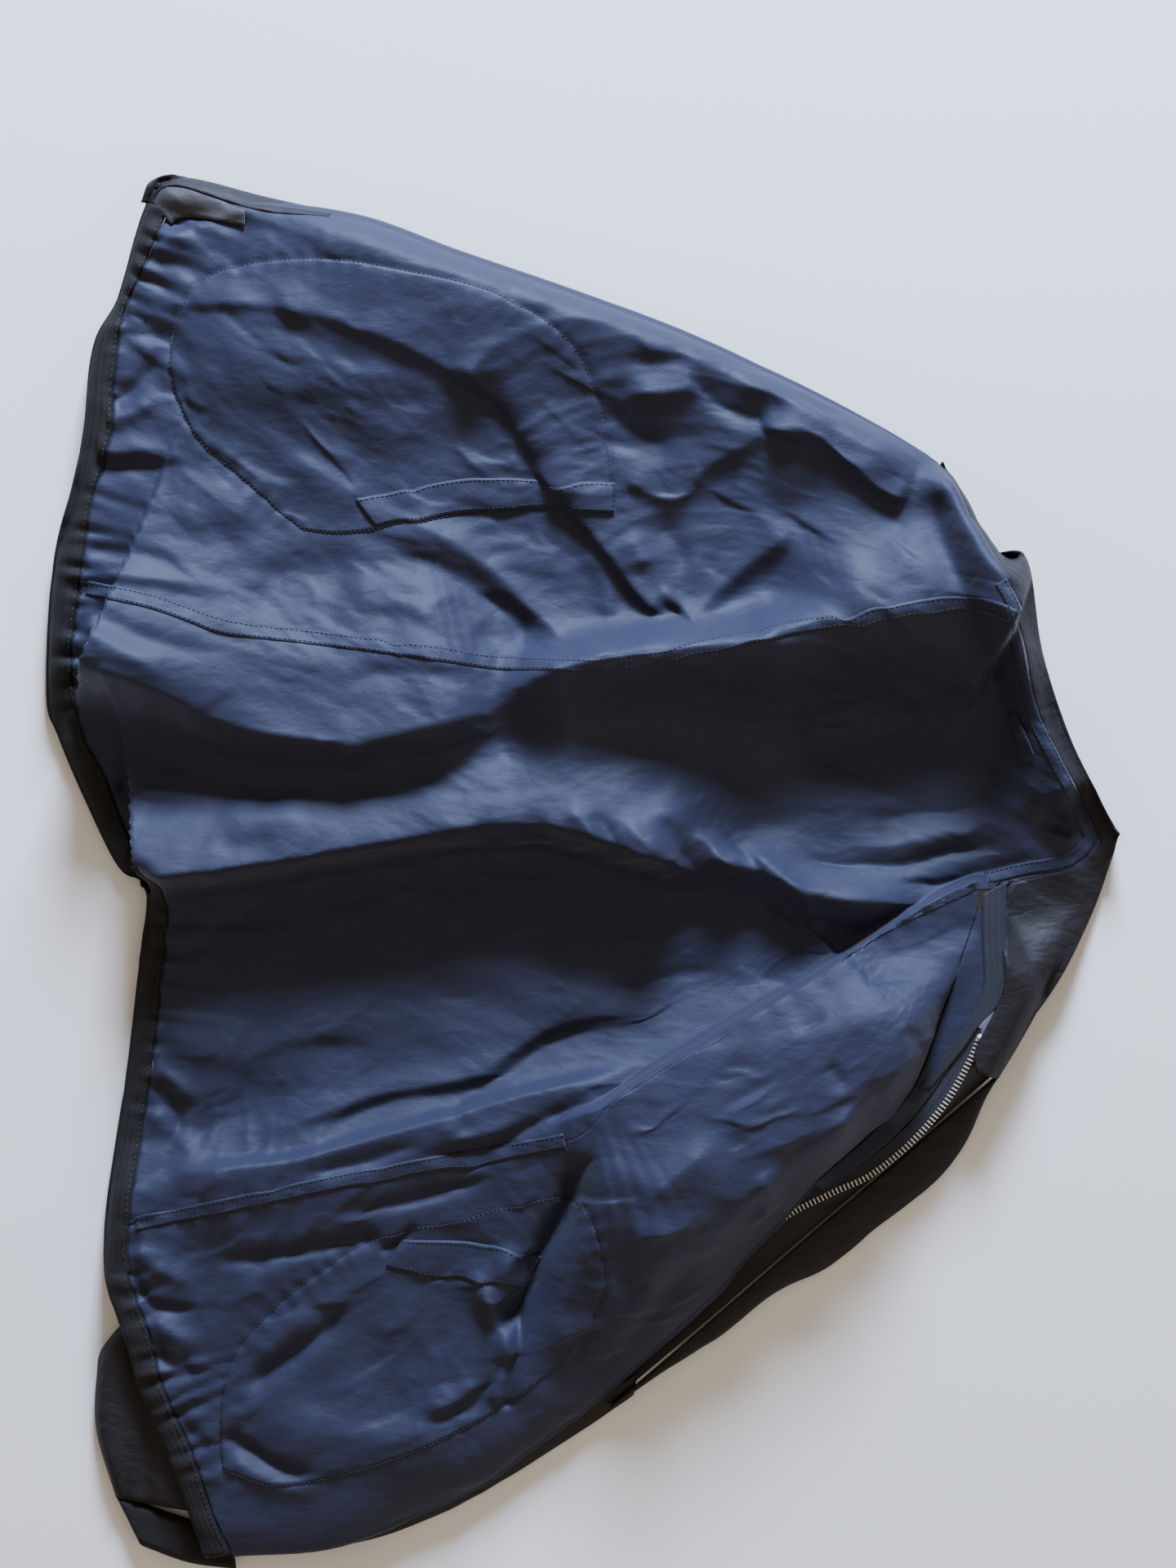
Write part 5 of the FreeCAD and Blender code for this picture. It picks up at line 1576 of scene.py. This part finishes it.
# ---- the set ------------------------------------------------------------
@dataclass
class Studio:
    """A pale floor, a low soft key light from +Y, a weak fill, and the camera overhead."""

    key: tuple = ("key", (0.25, 2.6, 1.14), 0.7, 455.0, (0.60, 0.73, 1.0))
    weak_fill: tuple = ("fill", (1.3, -1.5, 1.6), 1.4, 10.0, (1.0, 0.90, 0.78))
    sky: tuple = ((1.0, 0.82, 0.62, 1), 0.70)
    floor_half: float = 3.0
    floor_drop: float = 0.0002
    floor_colour: tuple = (0.62, 0.63, 0.65, 1)
    floor_rough: float = 0.85
    view_height: float = 2.0
    view_centre: Point = (0.004, 0.0615)
    view_span: float = 0.96

    def area(self, name: str, at: tuple, size: float, watts: float, colour: tuple) -> bpy.types.Object:
        """Add a square area light that faces the middle of the object."""
        lamp = bpy.data.lights.new(name, "AREA")
        lamp.energy, lamp.size, lamp.color = watts, size, colour
        light = bpy.data.objects.new(name, lamp)
        light.location = at
        light.rotation_euler = (-Vector(at)).to_track_quat("-Z", "Y").to_euler()
        bpy.context.scene.collection.objects.link(light)
        return light

    def build(self) -> None:
        """Add the floor, the lights, the world and the camera."""
        mesh = bpy.data.meshes.new("floor")
        corners = [(x * self.floor_half, y * self.floor_half, -self.floor_drop)
                   for x, y in ((-1, -1), (1, -1), (1, 1), (-1, 1))]
        mesh.from_pydata(corners, [], [[0, 1, 2, 3]])
        floor = bpy.data.objects.new("floor", mesh)
        bpy.context.scene.collection.objects.link(floor)
        pale = bpy.data.materials.new("pale floor")
        pale.use_nodes = True
        shader = pale.node_tree.nodes["Principled BSDF"]
        shader.inputs["Base Color"].default_value = self.floor_colour
        shader.inputs["Roughness"].default_value = self.floor_rough
        mesh.materials.append(pale)
        self.area(*self.key)
        self.area(*self.weak_fill)
        world = bpy.data.worlds.new("studio")
        world.use_nodes = True
        light = world.node_tree.nodes["Background"]
        light.inputs["Color"].default_value, light.inputs["Strength"].default_value = self.sky
        bpy.context.scene.world = world
        lens = bpy.data.cameras.new("overhead")
        lens.sensor_fit = "VERTICAL"
        lens.sensor_height = 36.0
        lens.lens = 36.0 * self.view_height / self.view_span
        camera = bpy.data.objects.new("overhead", lens)
        camera.location = (*self.view_centre, self.view_height)
        bpy.context.scene.collection.objects.link(camera)
        bpy.context.scene.camera = camera


def main() -> None:
    """Build the jacket piece by piece, and the set round it."""
    logging.basicConfig(level=logging.INFO, format="%(name)s: %(message)s")
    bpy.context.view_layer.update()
    finishes = Wardrobe().fill()
    parts = [
        Sleeve(Side.RIGHT, run((-252, 330), (-130, 327), (-40, 305), (60, 270), (160, 226)),
               run((-254, 224), (-130, 198), (-20, 170), (70, 146), (150, 136)),
               (run((-253, 329), (-256, 278), (-255, 225)), run((-292, 320), (-303, 277), (-293, 236))),
               finishes, 13.0),
        Sleeve(Side.LEFT, run((-284, -374), (-296, -334), (-296, -301), (-290, -279), (-256, -250),
                              (-170, -212), (-60, -188), (60, -161), (145, -157)),
               run((-140, -396), (-92, -345), (-20, -292), (60, -235), (140, -172)),
               (run((-284, -372), (-250, -384), (-214, -396)), run((-268, -404), (-240, -414), (-211, -418))),
               finishes, 15.0, 8.0),
        Body(finishes),
        HemBand(finishes),
        HemCorner(finishes),
        Pocket(Side.RIGHT, BAG_RIGHT, run((-135, 234), (-104, 240), (-69, 246), (-34, 246), (20, 243)),
               run((-124, 217), (-104, 221), (-58, 227), (-12, 229), (20, 226)), finishes,
               (run((-3, 243), (-4, 234), (-3, 226)), run((19, 243), (20, 235), (19, 226)))),
        Pocket(Side.LEFT, BAG_LEFT, run((-108, -213), (-72, -214), (-49, -217), (-24, -224)),
               run((-118, -229), (-94, -234), (-65, -237), (-36, -241)), finishes),
        Collar(finishes),
        LeftFrontEdge(finishes),
        RightZip(finishes),
    ]
    for part in parts:
        for piece in part.build():
            log.info("%s: %s, %d faces", type(part).__name__, piece.name, len(piece.data.polygons))
    Studio().build()


if __name__ == "__main__":
    main()
